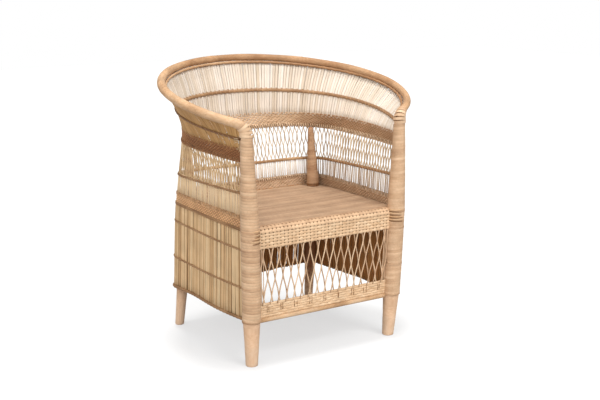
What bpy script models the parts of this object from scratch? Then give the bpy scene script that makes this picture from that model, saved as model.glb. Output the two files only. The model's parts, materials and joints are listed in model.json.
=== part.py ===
"""A barrel-back cane armchair: posts and a thick rim that carry a wall of canes and weave round a seat.

Metres, +Z up. The chair faces -Y and stands on Z = 0, with the origin under the middle of its box.
Every wall piece is read from one surface, which carries the plan of each hoop smoothly up the chair.
"""

import math
from collections import namedtuple

import bmesh
import bpy
import numpy as np

# Gap between pieces that touch.
FIT = 0.0004

# Front posts: poles with bare feet, wrapped from the skirt to the rim.
FRONT_FOOT_X = 0.242
FRONT_FOOT_Y = -0.2195
FRONT_TOP_X = 0.2605
FRONT_TOP_Y = -0.2335
FRONT_BOW = 0.007
FRONT_FOOT_RADIUS = 0.0170
FRONT_KNEE_RADIUS = 0.0240
FRONT_SEAT_RADIUS = 0.0236
FRONT_TOP_RADIUS = 0.0155

# Rear posts: thinner poles that stand inside the wall's rear corners. Places are shares of the way
# round the wall, from the middle of the back: the posts, the seams of the panels beyond them, and
# where the corners begin.
POST_PLACE = 0.362
REAR_PLACE = 0.415
CORNER_END = 0.310
REAR_FOOT_RADIUS = 0.0135
REAR_KNEE_RADIUS = 0.0172
REAR_SEAT_RADIUS = 0.0185
REAR_TOP_RADIUS = 0.0085
POST_SIDES = 10

# Flat cane peel wound round the posts.
WRAP_THICKNESS = 0.0016
WRAP_GAP = 0.0008
FRONT_WRAP_TURNS = 15
REAR_WRAP_TURNS = 6

# Half the width of the wall at each hoop that shapes it, from the floor up. It stands upright from
# the seat to the middle rods.
SKIRT_HALF_WIDTH = 0.266
SEAT_HALF_WIDTH = 0.265
MID_HALF_WIDTH = SEAT_HALF_WIDTH
BAND_LOW_HALF_WIDTH = 0.275
BAND_TOP_HALF_WIDTH = 0.292
FLARE_HALF_WIDTH = 0.319
RIM_HALF_WIDTH = 0.375

# Where each hoop is widest, along Y.
SKIRT_WIDEST_Y = 0.020
SEAT_WIDEST_Y = 0.010
MID_WIDEST_Y = -0.006
BAND_LOW_WIDEST_Y = -0.013
BAND_TOP_WIDEST_Y = -0.015
FLARE_WIDEST_Y = -0.023
RIM_WIDEST_Y = -0.031

# How far back each hoop reaches.
SKIRT_BACK_Y = 0.230
SEAT_BACK_Y = 0.208
MID_BACK_Y = 0.211
BAND_LOW_BACK_Y = 0.233
BAND_TOP_BACK_Y = 0.260
FLARE_BACK_Y = 0.271
RIM_BACK_Y = 0.299

# Heights at the front posts and at the back: the skirt's lower edge, the seat hoop above the seat,
# and then each zone of the wall on top of the one below it.
SKIRT_FRONT_Z = 0.127
SKIRT_BACK_Z = 0.128
SEAT_RISE_FRONT = 0.012
SEAT_RISE_BACK = 0.020
STAVES_FRONT = 0.083
STAVES_BACK = 0.068
LATTICE_FRONT = 0.085
LATTICE_BACK = 0.105
BAND_FRONT = 0.040
BAND_BACK = 0.048
LOW_FLARE_FRONT = 0.022
LOW_FLARE_BACK = 0.072
HIGH_FLARE_FRONT = 0.040
HIGH_FLARE_BACK = 0.101
RIM_DROP = 0.030

# Wall layers, and the slices of a side, of a rear corner and of the back between the corners.
SIDE_STEPS = 10
CORNER_STEPS = 5
BACK_STEPS = 10
CANE_RIDGE = 0.0034
CANE_VALLEY = 0.0022
BAND_HALF = 0.0050
SEAT_BAND_HEIGHT = 0.034
FLUTED = (CANE_RIDGE, CANE_VALLEY)

# Poles and rods bent round the wall.
RIM_RADIUS = 0.0138
RIM_BEND = 0.034
RIM_NECK = 0.0035
ROD_RADIUS = 0.0038
BOTTOM_ROD_RADIUS = 0.0046
UPPER_BINDER_H = 0.338
LOWER_BINDER_H = 0.226

# Open diamond lattice of the back and the arms, with straight canes below it.
STRAND = 0.0036
LATTICE_GAPS = 3

# Front panel, from the seat down.
APRON_DROP = 0.062
APRON_HALF = 0.0045
FRONT_STRAND = 0.0050
FRONT_COLUMNS = 15
FRONT_GAPS = 3
FRONT_BAND_HEIGHT = 0.042
FRONT_BAND_HALF = 0.0050
FRONT_RAIL_RADIUS = 0.0068
FRONT_RAIL_Z = 0.1295

# Seat and its frame.
SEAT_Z = 0.400
SEAT_THICKNESS = 0.010
SEAT_EDGE = 0.006
SEAT_SAG = 0.0035
RAIL_RADIUS = 0.0140
BEARER_RADIUS = 0.0080
BEARERS = 3

# Fineness of rings and curves, and of the search for where a panel clears the rim.
FRONT_RINGS = 7
REAR_RINGS = 9
EDGE_RINGS = 4
SAG_RINGS = 3
BEND_STEPS = 5
REAR_SAMPLES = 80
ARM_SAMPLES = 40
RIM_SAMPLES = 900
RIM_BATCHES = 30
RIM_TRIALS = 150
SLOPE_STEP = 0.0005
SHARP_ANGLE = math.radians(35)

# From a post's bare surface to clear of its wrap.
OVER_WRAP = 3 * FIT + WRAP_THICKNESS

FRONT_ZONES = (STAVES_FRONT, LATTICE_FRONT, BAND_FRONT, LOW_FLARE_FRONT, HIGH_FLARE_FRONT)
BACK_ZONES = (STAVES_BACK, LATTICE_BACK, BAND_BACK, LOW_FLARE_BACK, HIGH_FLARE_BACK)
FRONT_Z = [SKIRT_FRONT_Z, *np.cumsum([SEAT_Z + SEAT_RISE_FRONT, *FRONT_ZONES])]
BACK_Z = [SKIRT_BACK_Z, *np.cumsum([SEAT_Z + SEAT_RISE_BACK, *BACK_ZONES])]
FRONT_TOP_Z = FRONT_Z[-1] - RIM_DROP

# A hoop's plan and heights. squareness is the power of its rear curve, tuck bends its arm in
# towards the post, and climb is the power of its rise to the back.
Hoop = namedtuple("Hoop", "half_width widest_y back_y squareness tuck climb front_z back_z")
BOTTOM = Hoop(SKIRT_HALF_WIDTH, SKIRT_WIDEST_Y, SKIRT_BACK_Y, 15.0, 0.0, 1.0, FRONT_Z[0], BACK_Z[0])
SEAT = Hoop(SEAT_HALF_WIDTH, SEAT_WIDEST_Y, SEAT_BACK_Y, 11.0, 0.0, 1.0, FRONT_Z[1], BACK_Z[1])
MID = Hoop(MID_HALF_WIDTH, MID_WIDEST_Y, MID_BACK_Y, 7.5, 0.0, 1.0, FRONT_Z[2], BACK_Z[2])
BAND_LOW = Hoop(
    BAND_LOW_HALF_WIDTH, BAND_LOW_WIDEST_Y, BAND_LOW_BACK_Y, 3.5, 0.12, 1.0, FRONT_Z[3], BACK_Z[3]
)
BAND_TOP = Hoop(
    BAND_TOP_HALF_WIDTH, BAND_TOP_WIDEST_Y, BAND_TOP_BACK_Y, 2.4, 0.12, 1.2, FRONT_Z[4], BACK_Z[4]
)
FLARE = Hoop(FLARE_HALF_WIDTH, FLARE_WIDEST_Y, FLARE_BACK_Y, 2.2, 0.21, 0.86, FRONT_Z[5], BACK_Z[5])
RIM = Hoop(RIM_HALF_WIDTH, RIM_WIDEST_Y, RIM_BACK_Y, 1.95, 0.67, 0.75, FRONT_Z[6], BACK_Z[6])
HOOPS = (BOTTOM, SEAT, MID, BAND_LOW, BAND_TOP, FLARE, RIM)

CHAIR = bpy.data.objects.new("chair", None)


def cane(name, colour, roughness):
    """A Principled material of one cane colour."""
    material = bpy.data.materials.new(name)
    material.use_nodes = True
    shader = material.node_tree.nodes["Principled BSDF"]
    shader.inputs["Base Color"].default_value = (*colour, 1.0)
    shader.inputs["Roughness"].default_value = roughness
    return material


def add(name, data):
    """Links a named object, parented to the chair."""
    item = bpy.data.objects.new(name, data)
    item.parent = CHAIR
    bpy.context.scene.collection.objects.link(item)
    return item


def add_mesh(name, bm, material):
    """Turns a bmesh into an object whose faces point out, smooth but for its sharp edges."""
    bmesh.ops.recalc_face_normals(bm, faces=bm.faces[:])
    mesh = bpy.data.meshes.new(name)
    bm.to_mesh(mesh)
    bm.free()
    mesh.materials.append(material)
    mesh.shade_smooth()
    mesh.set_sharp_from_angle(angle=SHARP_ANGLE)
    return add(name, mesh)


def loft(name, rings, material):
    """A closed body through rings of equal point counts, capped at both ends."""
    bm = bmesh.new()
    rows = [[bm.verts.new(point) for point in ring] for ring in rings]
    for first, second in zip(rows, rows[1:]):
        for k in range(len(first)):
            bm.faces.new((first[k - 1], first[k], second[k], second[k - 1]))
    bm.faces.new(rows[0])
    bm.faces.new(rows[-1])
    return add_mesh(name, bm, material)


def rod(name, path, radius, material, resolution=1):
    """A round rod along a path, as a bevelled curve with filled caps."""
    curve = bpy.data.curves.new(name, "CURVE")
    curve.dimensions = "3D"
    curve.bevel_depth = radius
    curve.bevel_resolution = resolution
    curve.use_fill_caps = True
    spline = curve.splines.new("POLY")
    spline.points.add(len(path) - 1)
    for point, place in zip(spline.points, path):
        point.co = (*place, 1.0)
    curve.materials.append(material)
    return add(name, curve)


def mirrored(points):
    """The same points on the chair's left side."""
    return np.asarray(points) * (-1, 1, 1)


def front_axis(z):
    """Axis of the right front post at a height: a lean with a slight bow forwards."""
    t = z / FRONT_TOP_Z
    x = FRONT_FOOT_X + (FRONT_TOP_X - FRONT_FOOT_X) * t
    y = FRONT_FOOT_Y + (FRONT_TOP_Y - FRONT_FOOT_Y) * t - FRONT_BOW * 4 * t * (1 - t)
    return x, y


def front_radius(z):
    """Bare radius of a front post at a height."""
    heights = (0, BOTTOM.front_z, SEAT_Z, FRONT_TOP_Z)
    radii = (FRONT_FOOT_RADIUS, FRONT_KNEE_RADIUS, FRONT_SEAT_RADIUS, FRONT_TOP_RADIUS)
    return np.interp(z, heights, radii)


def rear_radius(z):
    """Bare radius of a rear post at a height."""
    heights = (0, BOTTOM.back_z, SEAT_Z, BAND_LOW.front_z)
    radii = (REAR_FOOT_RADIUS, REAR_KNEE_RADIUS, REAR_SEAT_RADIUS, REAR_TOP_RADIUS)
    return np.interp(z, heights, radii)


def front_reach(z):
    """Clear distance from a front post's axis, over its wrap."""
    return front_radius(z) + OVER_WRAP


def plan_of(hoop):
    """Right half of a hoop, from the middle of the back round to the front post's axis."""
    front_x, front_y = front_axis(hoop.front_z)
    angle = np.linspace(math.pi / 2, 0, REAR_SAMPLES)
    power = 2 / hoop.squareness
    rear_x = hoop.half_width * np.abs(np.cos(angle)) ** power
    rear_y = hoop.widest_y + (hoop.back_y - hoop.widest_y) * np.abs(np.sin(angle)) ** power
    rear_x[0] = 0.0
    t = np.linspace(1, 0, ARM_SAMPLES)[1:]
    bend = 1 - np.cos(t * math.pi / 2)
    side_x = front_x + (hoop.half_width - front_x) * np.sin(t * math.pi / 2)
    side_y = front_y + (hoop.widest_y - front_y) * ((1 - hoop.tuck) * t + hoop.tuck * bend)
    x = np.concatenate([rear_x, side_x])
    y = np.concatenate([rear_y, side_y])
    run = np.clip((y - front_y) / (hoop.back_y - front_y), 0, 1)
    z = hoop.front_z + (hoop.back_z - hoop.front_z) * run ** hoop.climb
    return np.stack([x, y, z], axis=1)


def length_of(points):
    """Distance run along a path at each of its points."""
    steps = np.linalg.norm(np.diff(points, axis=0), axis=1)
    return np.concatenate([[0.0], np.cumsum(steps)])


PLANS = [plan_of(hoop) for hoop in HOOPS]
RUNS = [length_of(plan) for plan in PLANS]
HALF_LENGTHS = np.array([run[-1] for run in RUNS])
KNOTS = np.array([(hoop.front_z + hoop.back_z) / 2 for hoop in HOOPS])
BOTTOM_H, SEAT_H, MID_H, BAND_LOW_H, BAND_TOP_H, FLARE_H, RIM_H = KNOTS


def hoop_points(plan, run, s):
    """Points of a hoop at s, from -1 at the left front post through 0 at the back to 1 at the right."""
    along = np.abs(s) * run[-1]
    x, y, z = (np.interp(along, run, plan[:, axis]) for axis in range(3))
    return np.stack([np.sign(s) * x, y, z], axis=-1)


def wall(s, h):
    """Middle surface of the wall: a smooth curve through the hoops at s, read at the mean height h."""
    s, h = np.broadcast_arrays(np.asarray(s, float), np.asarray(h, float))
    points = np.stack([hoop_points(plan, run, s) for plan, run in zip(PLANS, RUNS)])
    spans = np.diff(KNOTS).reshape(-1, *[1] * (points.ndim - 1))
    chords = np.diff(points, axis=0) / spans
    inner = (chords[:-1] * spans[1:] + chords[1:] * spans[:-1]) / (spans[1:] + spans[:-1])
    slopes = np.concatenate([chords[:1], inner, chords[-1:]])
    k = np.clip(np.searchsorted(KNOTS, h, side="right") - 1, 0, len(KNOTS) - 2)
    span = np.diff(KNOTS)[k]
    t = ((h - KNOTS[k]) / span)[..., None]
    pick = (k, *np.indices(k.shape))
    after = (k + 1, *np.indices(k.shape))
    rise = span[..., None]
    return (
        points[pick] * (2 * t**3 - 3 * t**2 + 1)
        + slopes[pick] * rise * (t**3 - 2 * t**2 + t)
        + points[after] * (3 * t**2 - 2 * t**3)
        + slopes[after] * rise * (t**3 - t**2)
    )


def outward(s, h):
    """Unit normal of the wall, pointing out of the chair."""
    across = wall(np.clip(s + SLOPE_STEP, -1, 1), h) - wall(np.clip(s - SLOPE_STEP, -1, 1), h)
    up = wall(s, h + SLOPE_STEP) - wall(s, h - SLOPE_STEP)
    normal = np.cross(up, across)
    return normal / np.linalg.norm(normal, axis=-1, keepdims=True)


def offset_wall(s, h, distance):
    """Points that far outside the wall's middle surface."""
    return wall(s, h) + outward(s, h) * np.asarray(distance)[..., None]


def climbed(s, h, rise):
    """Height h reached by going up the wall by a distance."""
    middle = h
    for _ in range(2):
        up = wall(s, middle + SLOPE_STEP) - wall(s, middle - SLOPE_STEP)
        rate = np.linalg.norm(up, axis=-1) / (2 * SLOPE_STEP)
        middle = h + rise / rate / 2
    return h + rise / rate


def front_end(h):
    """The s at which the wall meets the wrap of the right front post."""
    z = np.interp(h, KNOTS, FRONT_Z)
    return 1 - (front_reach(z) + FIT) / np.interp(h, KNOTS, HALF_LENGTHS)


def back_end(h):
    """The s of the seam between a side panel and the back panel."""
    return REAR_PLACE - FIT / np.interp(h, KNOTS, HALF_LENGTHS)


def side_start(h):
    """The s at which a side panel starts, behind its rear post."""
    return REAR_PLACE + FIT / np.interp(h, KNOTS, HALF_LENGTHS)


# A section of the wall: the slices between its ends, and the s of those ends at a height.
Section = namedtuple("Section", "steps ends")
SECTIONS = {
    "left": Section((SIDE_STEPS,), lambda h: (-front_end(h), -side_start(h))),
    "back": Section(
        (CORNER_STEPS, BACK_STEPS, CORNER_STEPS),
        lambda h: (-back_end(h), -CORNER_END, CORNER_END, back_end(h)),
    ),
    "right": Section((SIDE_STEPS,), lambda h: (side_start(h), front_end(h))),
    "whole": Section(
        (SIDE_STEPS, CORNER_STEPS, BACK_STEPS, CORNER_STEPS, SIDE_STEPS),
        lambda h: (-front_end(h), -REAR_PLACE, -CORNER_END, CORNER_END, REAR_PLACE, front_end(h)),
    ),
}
STATIONS = sum(SECTIONS["whole"].steps)


def along(section, t, h):
    """The s at t from 0 to 1 along a section at a height, by straight runs between its ends."""
    steps, ends_at = SECTIONS[section]
    ends = np.stack([np.broadcast_to(end, np.shape(t)) for end in ends_at(h)])
    shares = np.insert(np.cumsum(steps), 0, 0) / sum(steps)
    k = np.clip(np.searchsorted(shares, t, side="right") - 1, 0, len(steps) - 1)
    start = np.take_along_axis(ends, k[None], axis=0)[0]
    end = np.take_along_axis(ends, k[None] + 1, axis=0)[0]
    return start + (end - start) * (t - shares[k]) / np.diff(shares)[k]


def shell(name, section, edges, halves, material):
    """A panel of the wall through its edges, lowest first, as a loft of slices of these half widths."""
    count = sum(SECTIONS[section].steps) * len(halves)
    t = np.linspace(0, 1, count + 1)
    half = np.resize(halves, count + 1)
    outer = []
    inner = []
    for edge in edges:
        s = along(section, t, SEAT_H)
        for _ in range(3):
            h = edge(s)
            s = along(section, t, h)
        outer.append(offset_wall(s, h, half))
        inner.append(offset_wall(s, h, -half))
    rings = np.concatenate([np.stack(outer, axis=1), np.stack(inner[::-1], axis=1)], axis=1)
    return loft(name, rings, material)


def hoop_rod(name, h, distance, radius, material):
    """A rod bent round the wall, that far outside it and further where it bulges past its chords."""
    s = along("whole", np.linspace(0, 1, STATIONS + 1), h)
    push = np.zeros(len(s))
    if distance > 0:
        chord = (wall(s[1:], h) + wall(s[:-1], h)) / 2
        bulge = np.linalg.norm(wall((s[1:] + s[:-1]) / 2, h) - chord, axis=1)
        push = np.maximum(np.append(bulge, 0), np.insert(bulge, 0, 0))
    return rod(name, offset_wall(s, h, distance + push), radius, material)


def level(h, rise=0.0):
    """An edge of a panel: a distance up the wall from a height."""
    return lambda s: climbed(s, np.full(np.shape(s), h), rise)


def diamond_cells(columns, gaps):
    """Cells of a diamond net, as corners (column, row): triangles on both edges, diamonds between."""
    cells = []
    for row in range(gaps + 1):
        centres = np.arange(0.5 * (1 - row % 2), columns + 0.1)
        for centre in centres:
            left = max(centre - 0.5, 0)
            right = min(centre + 0.5, columns)
            corners = [(left, row), (centre, row - 1), (right, row), (centre, row + 1)]
            if row == 0:
                corners = [(left, row), (right, row), (centre, row + 1)]
            if row == gaps:
                corners = [(left, row), (centre, row - 1), (right, row)]
            cells.append(list(dict.fromkeys(corners)))
    return cells


def net(name, cells, place, strand, material):
    """An open net: cells laid on a surface, each inset by half a strand and emptied, then made solid."""
    bm = bmesh.new()
    corners = sorted({corner for cell in cells for corner in cell})
    verts = {corner: bm.verts.new(place(*corner)) for corner in corners}
    faces = [bm.faces.new([verts[corner] for corner in cell]) for cell in cells]
    bm.normal_update()
    bmesh.ops.inset_individual(bm, faces=faces, thickness=strand / 2, use_even_offset=True)
    bmesh.ops.delete(bm, geom=faces, context="FACES")
    item = add_mesh(name, bm, material)
    solid = item.modifiers.new("strand", "SOLIDIFY")
    solid.thickness = strand
    solid.offset = 0
    solid.use_even_offset = True
    return item


# Posts are tables of height, x, y and bare radius, read between their rows.
Post = namedtuple("Post", "z x y radius")


def front_post():
    """The right front post, from its foot to under the rim."""
    z = np.unique([0, SEAT_Z, *np.linspace(BOTTOM.front_z, FRONT_TOP_Z, FRONT_RINGS)])
    x, y = front_axis(z)
    return Post(z, x, y, front_radius(z))


def rear_post():
    """The right rear post: it follows the wall's inner corner, clear of the rods, to a splayed foot."""
    rods = (UPPER_BINDER_H - 2 * ROD_RADIUS, MID_H + 2 * ROD_RADIUS)
    h = np.unique([*rods, *np.linspace(BOTTOM_H, BAND_LOW_H, REAR_RINGS)])
    on_wall = wall(POST_PLACE, h)
    away = outward(POST_PLACE, h) * (1, 1, 0)
    away /= np.linalg.norm(away, axis=-1, keepdims=True)
    z = on_wall[:, 2]
    on_canes = CANE_RIDGE + FIT
    under_rods = on_canes + FIT + 2 * ROD_RADIUS
    gap = np.interp(h, (BOTTOM_H, *rods, BAND_LOW_H), (on_canes, under_rods, under_rods, on_canes))
    axis = on_wall - away * (rear_radius(z) + OVER_WRAP + gap)[:, None]
    splay = (axis[1] - axis[0]) / (z[1] - z[0])
    foot = axis[0] - splay * z[0]
    x, y, z = np.concatenate([[foot], axis[:-1], [axis[-1] - (0, 0, FIT)]]).T
    return Post(z, x, y, rear_radius(z))


def circle(post, z, extra=0.0):
    """A level ring round a post at a height, some way out from its bare radius."""
    x, y, radius = (np.interp(z, post.z, column) for column in post[1:])
    angle = np.linspace(0, 2 * math.pi, POST_SIDES, endpoint=False)
    around = (radius + extra) * np.stack([np.cos(angle), np.sin(angle), 0 * angle], axis=1)
    return around + (x, y, z)


def winding(post, low, high, turns):
    """Rings of one flat strip wound up a post, and the least gap between its turns."""
    pitch = (high - low + WRAP_GAP) / (turns + 1)
    half = (pitch - WRAP_GAP) / 2
    inside = 2 * FIT
    outside = inside + WRAP_THICKNESS
    rings = []
    for k in range(turns * POST_SIDES + 1):
        z = low + half + pitch * k / POST_SIDES
        corners = [(z - half, inside), (z - half, outside), (z + half, outside), (z + half, inside)]
        rings.append([circle(post, height, extra)[k % POST_SIDES] for height, extra in corners])
    rings = np.array(rings)
    upper = rings[POST_SIDES:, :2].reshape(-1, 1, 2, 3)
    lower = rings[:-POST_SIDES, 2:].reshape(-1, 2, 1, 3)
    return rings, np.linalg.norm(upper - lower, axis=-1).min()


def make_posts(bare, peel):
    """Four posts, each with its wrap: all of a front post above the skirt, a rear post above the seat."""
    front = front_post()
    rear = rear_post()
    plans = (
        ("front", front, BOTTOM.front_z, FRONT_TOP_Z - FIT, FRONT_WRAP_TURNS),
        ("rear", rear, SEAT_Z + 2 * FIT, rear.z[-1] - FIT, REAR_WRAP_TURNS),
    )
    for end, post, low, high, turns in plans:
        rings = [circle(post, z) for z in post.z]
        strip, gap = winding(post, low, high, turns)
        for side, turned in (("right", np.asarray), ("left", mirrored)):
            loft(f"{end}_{side}_post", [turned(ring) for ring in rings], bare)
            loft(f"{end}_{side}_wrap", [turned(ring) for ring in strip], peel)
            print(f"{end}_{side}_wrap: least gap between its turns {gap * 1000:.2f} mm")
    return front, rear


def rim_path():
    """Middle line of the rim: round the top hoop, with each end bent down onto its front post."""
    span = 1 - RIM_BEND / HALF_LENGTHS[-1]
    arch = wall(np.linspace(-span, span, STATIONS + 1), RIM_H)
    corner = wall(1.0, RIM_H)
    foot = np.array([*front_axis(FRONT_TOP_Z), FRONT_TOP_Z + FIT])
    neck = foot + (0, 0, RIM_NECK)
    t = np.linspace(0, 1, BEND_STEPS + 1)[1:, None]
    bend = arch[-1] * (1 - t) ** 2 + corner * 2 * t * (1 - t) + neck * t**2
    end = np.concatenate([bend, [foot]])
    return np.concatenate([mirrored(end[::-1]), arch, end])


def clear_of(path, distance, sides):
    """An edge of a panel: the first height below the rim where its sides are that far from a path."""
    run = length_of(path)
    fine = np.linspace(0, run[-1], RIM_SAMPLES)
    dense = np.stack([np.interp(fine, run, path[:, axis]) for axis in range(3)], axis=1)

    def edge(s):
        drops = np.linspace(0, 3 * distance, RIM_TRIALS)
        heights = np.stack([climbed(s, np.full(np.shape(s), RIM_H), -drop) for drop in drops])
        nearest = np.full(heights.shape, np.inf)
        for side in sides:
            points = offset_wall(np.broadcast_to(s, heights.shape), heights, side)
            for part in np.array_split(dense, RIM_BATCHES):
                apart = np.linalg.norm(points[:, :, None] - part, axis=-1).min(axis=-1)
                nearest = np.minimum(nearest, apart)
        first = np.argmax(nearest >= distance, axis=0)
        return np.take_along_axis(heights, first[None], axis=0)[0]

    return edge


def make_rim(pole, canes, reed):
    """Rim pole, flared canes under it, the thin rod inside its lower edge and the rods on the flare."""
    path = rim_path()
    rod("top_rim", path, RIM_RADIUS, pole, resolution=2)
    top = clear_of(path, RIM_RADIUS + FIT, (-CANE_RIDGE, 0, CANE_RIDGE))
    shell("flare_canes", "whole", (level(BAND_TOP_H, 2 * FIT), level(FLARE_H), top), FLUTED, canes)
    on_canes = CANE_RIDGE + FIT + ROD_RADIUS
    under = clear_of(path, RIM_RADIUS + FIT + ROD_RADIUS, (-on_canes,))
    end = 1 - 2 * RIM_BEND / HALF_LENGTHS[-1]
    s = np.linspace(-end, end, STATIONS + 1)
    rod("under_rim_rod", offset_wall(s, under(s), -on_canes), ROD_RADIUS, reed)
    hoop_rod("flare_rod_inner", FLARE_H, -on_canes, ROD_RADIUS, reed)
    hoop_rod("flare_rod_outer", FLARE_H, on_canes, ROD_RADIUS, reed)


def make_openwork(canes, weave, reed):
    """Woven band, the lattice with straight canes below it, the rods that clamp it, and the seat band."""
    half_band = SEAT_BAND_HEIGHT / 2
    shell("upper_woven_band", "whole", (level(BAND_LOW_H), level(BAND_TOP_H)), (BAND_HALF,), weave)
    seat_edges = (level(SEAT_H, -half_band), level(SEAT_H, half_band))
    shell("seat_woven_band", "whole", seat_edges, (BAND_HALF,), weave)
    below = -1
    for side in ("left", "back", "right"):
        columns = sum(SECTIONS[side].steps)
        straight = [[(k, below), (k + 1, below), (k + 1, 0), (k, 0)] for k in range(columns)]

        def place(column, row):
            h = MID_H + (BAND_LOW_H - MID_H) * row / LATTICE_GAPS
            t = np.array([column / columns])
            if row == LATTICE_GAPS:
                h = climbed(along(side, t, BAND_LOW_H), BAND_LOW_H, -2 * FIT)
            if row == below:
                h = climbed(along(side, t, SEAT_H), SEAT_H, half_band + 2 * FIT)
            return wall(along(side, t, h), h)[0]

        net(f"lattice_{side}", diamond_cells(columns, LATTICE_GAPS) + straight, place, STRAND, canes)
    on_strands = STRAND / 2 + FIT + ROD_RADIUS
    hoop_rod("mid_rod_inner", MID_H, -on_strands, ROD_RADIUS, reed)
    hoop_rod("mid_rod_outer", MID_H, on_strands, ROD_RADIUS, reed)


def make_skirt(canes, reed):
    """Close-set canes from the seat band down, and the rods across them and round their lower edge."""
    half_band = SEAT_BAND_HEIGHT / 2
    top = level(SEAT_H, -half_band - FIT)
    edges = (level(BOTTOM_H), level(LOWER_BINDER_H), level(UPPER_BINDER_H), top)
    for side in ("left", "back", "right"):
        shell(f"skirt_canes_{side}", side, edges, FLUTED, canes)
    on_canes = CANE_RIDGE + FIT + ROD_RADIUS
    low_rod = CANE_RIDGE + FIT + BOTTOM_ROD_RADIUS
    under_band = SEAT_H - half_band - FIT - ROD_RADIUS
    hoop_rod("seat_band_rod", under_band, on_canes, ROD_RADIUS, reed)
    hoop_rod("upper_binder_outer", UPPER_BINDER_H, on_canes, ROD_RADIUS, reed)
    hoop_rod("upper_binder_inner", UPPER_BINDER_H, -on_canes, ROD_RADIUS, reed)
    hoop_rod("lower_binder_outer", LOWER_BINDER_H, on_canes, ROD_RADIUS, reed)
    hoop_rod("bottom_hoop", BOTTOM_H + BOTTOM_ROD_RADIUS, low_rod, BOTTOM_ROD_RADIUS, reed)


def front_gap(z):
    """Half the clear width between the front posts at a height, and the y of their axes."""
    x, y = front_axis(z)
    return x - front_reach(z) - FIT, y


def plate(name, low, high, half, material):
    """A flat band between the front posts, as a loft from the left post to the right one."""
    rings = []
    for side in (-1, 1):
        corners = []
        for z, depth in ((low, -half), (low, half), (high, half), (high, -half)):
            x, y = front_gap(z)
            corners.append((side * x, y + depth, z))
        rings.append(corners)
    return loft(name, rings, material)


def make_front(canes, weave, pole):
    """Woven apron under the seat, the tall diamond lattice, the woven lower band and the rail."""
    apron_top = SEAT_Z - SEAT_THICKNESS - FIT
    apron_low = SEAT_Z - APRON_DROP
    band_low = FRONT_RAIL_Z + FRONT_RAIL_RADIUS + FIT
    band_top = band_low + FRONT_BAND_HEIGHT
    plate("front_apron", apron_low, apron_top, APRON_HALF, weave)
    plate("front_lower_band", band_low, band_top, FRONT_BAND_HALF, weave)

    def place(column, row):
        z = band_top + FIT + (apron_low - band_top - 2 * FIT) * row / FRONT_GAPS
        x, y = front_gap(z)
        return x * (2 * column / FRONT_COLUMNS - 1), y, z

    net("front_lattice", diamond_cells(FRONT_COLUMNS, FRONT_GAPS), place, FRONT_STRAND, canes)
    x, y = front_gap(FRONT_RAIL_Z)
    path = [(-x, y, FRONT_RAIL_Z), (x, y, FRONT_RAIL_Z)]
    rod("front_lower_rail", path, FRONT_RAIL_RADIUS, pole, resolution=2)


def make_seat_frame(rear, pole):
    """Four rails between the posts, and bearers from the front rail to the back one."""
    rail_z = SEAT_Z - SEAT_THICKNESS - FIT - RAIL_RADIUS
    bearer_z = SEAT_Z - SEAT_THICKNESS - FIT - BEARER_RADIUS
    x, y = front_gap(rail_z)
    rail_y = y + APRON_HALF + FIT + RAIL_RADIUS
    near_y = rail_y + RAIL_RADIUS + FIT
    rear_x, rear_y, rear_bare = (np.interp(rail_z, rear.z, column) for column in rear[1:])
    low_x, high_x = (
        np.interp(rail_z + rise, rear.z, rear.x - rear.radius) for rise in (-RAIL_RADIUS, RAIL_RADIUS)
    )
    back_x = min(low_x, high_x) - FIT
    side_x = front_axis(rail_z)[0] - CANE_RIDGE - 2 * ROD_RADIUS - 2 * FIT - RAIL_RADIUS
    slant = abs(rear_x - side_x) / (rear_y - near_y)
    side_y = near_y + RAIL_RADIUS * slant
    right = np.array([(side_x, side_y, rail_z), (rear_x, rear_y - rear_bare - FIT, rail_z)])
    rails = (
        ("front", [(-x, rail_y, rail_z), (x, rail_y, rail_z)]),
        ("back", [(-back_x, rear_y, rail_z), (back_x, rear_y, rail_z)]),
        ("right", right),
        ("left", mirrored(right)),
    )
    for side, path in rails:
        rod(f"seat_rail_{side}", path, RAIL_RADIUS, pole, resolution=2)
    far_y = rear_y - RAIL_RADIUS - FIT
    for k in range(BEARERS):
        bearer_x = back_x * (2 * (k + 1) / (BEARERS + 1) - 1)
        path = [(bearer_x, near_y, bearer_z), (bearer_x, far_y, bearer_z)]
        rod(f"seat_bearer_{k + 1}", path, BEARER_RADIUS, pole)


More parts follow.
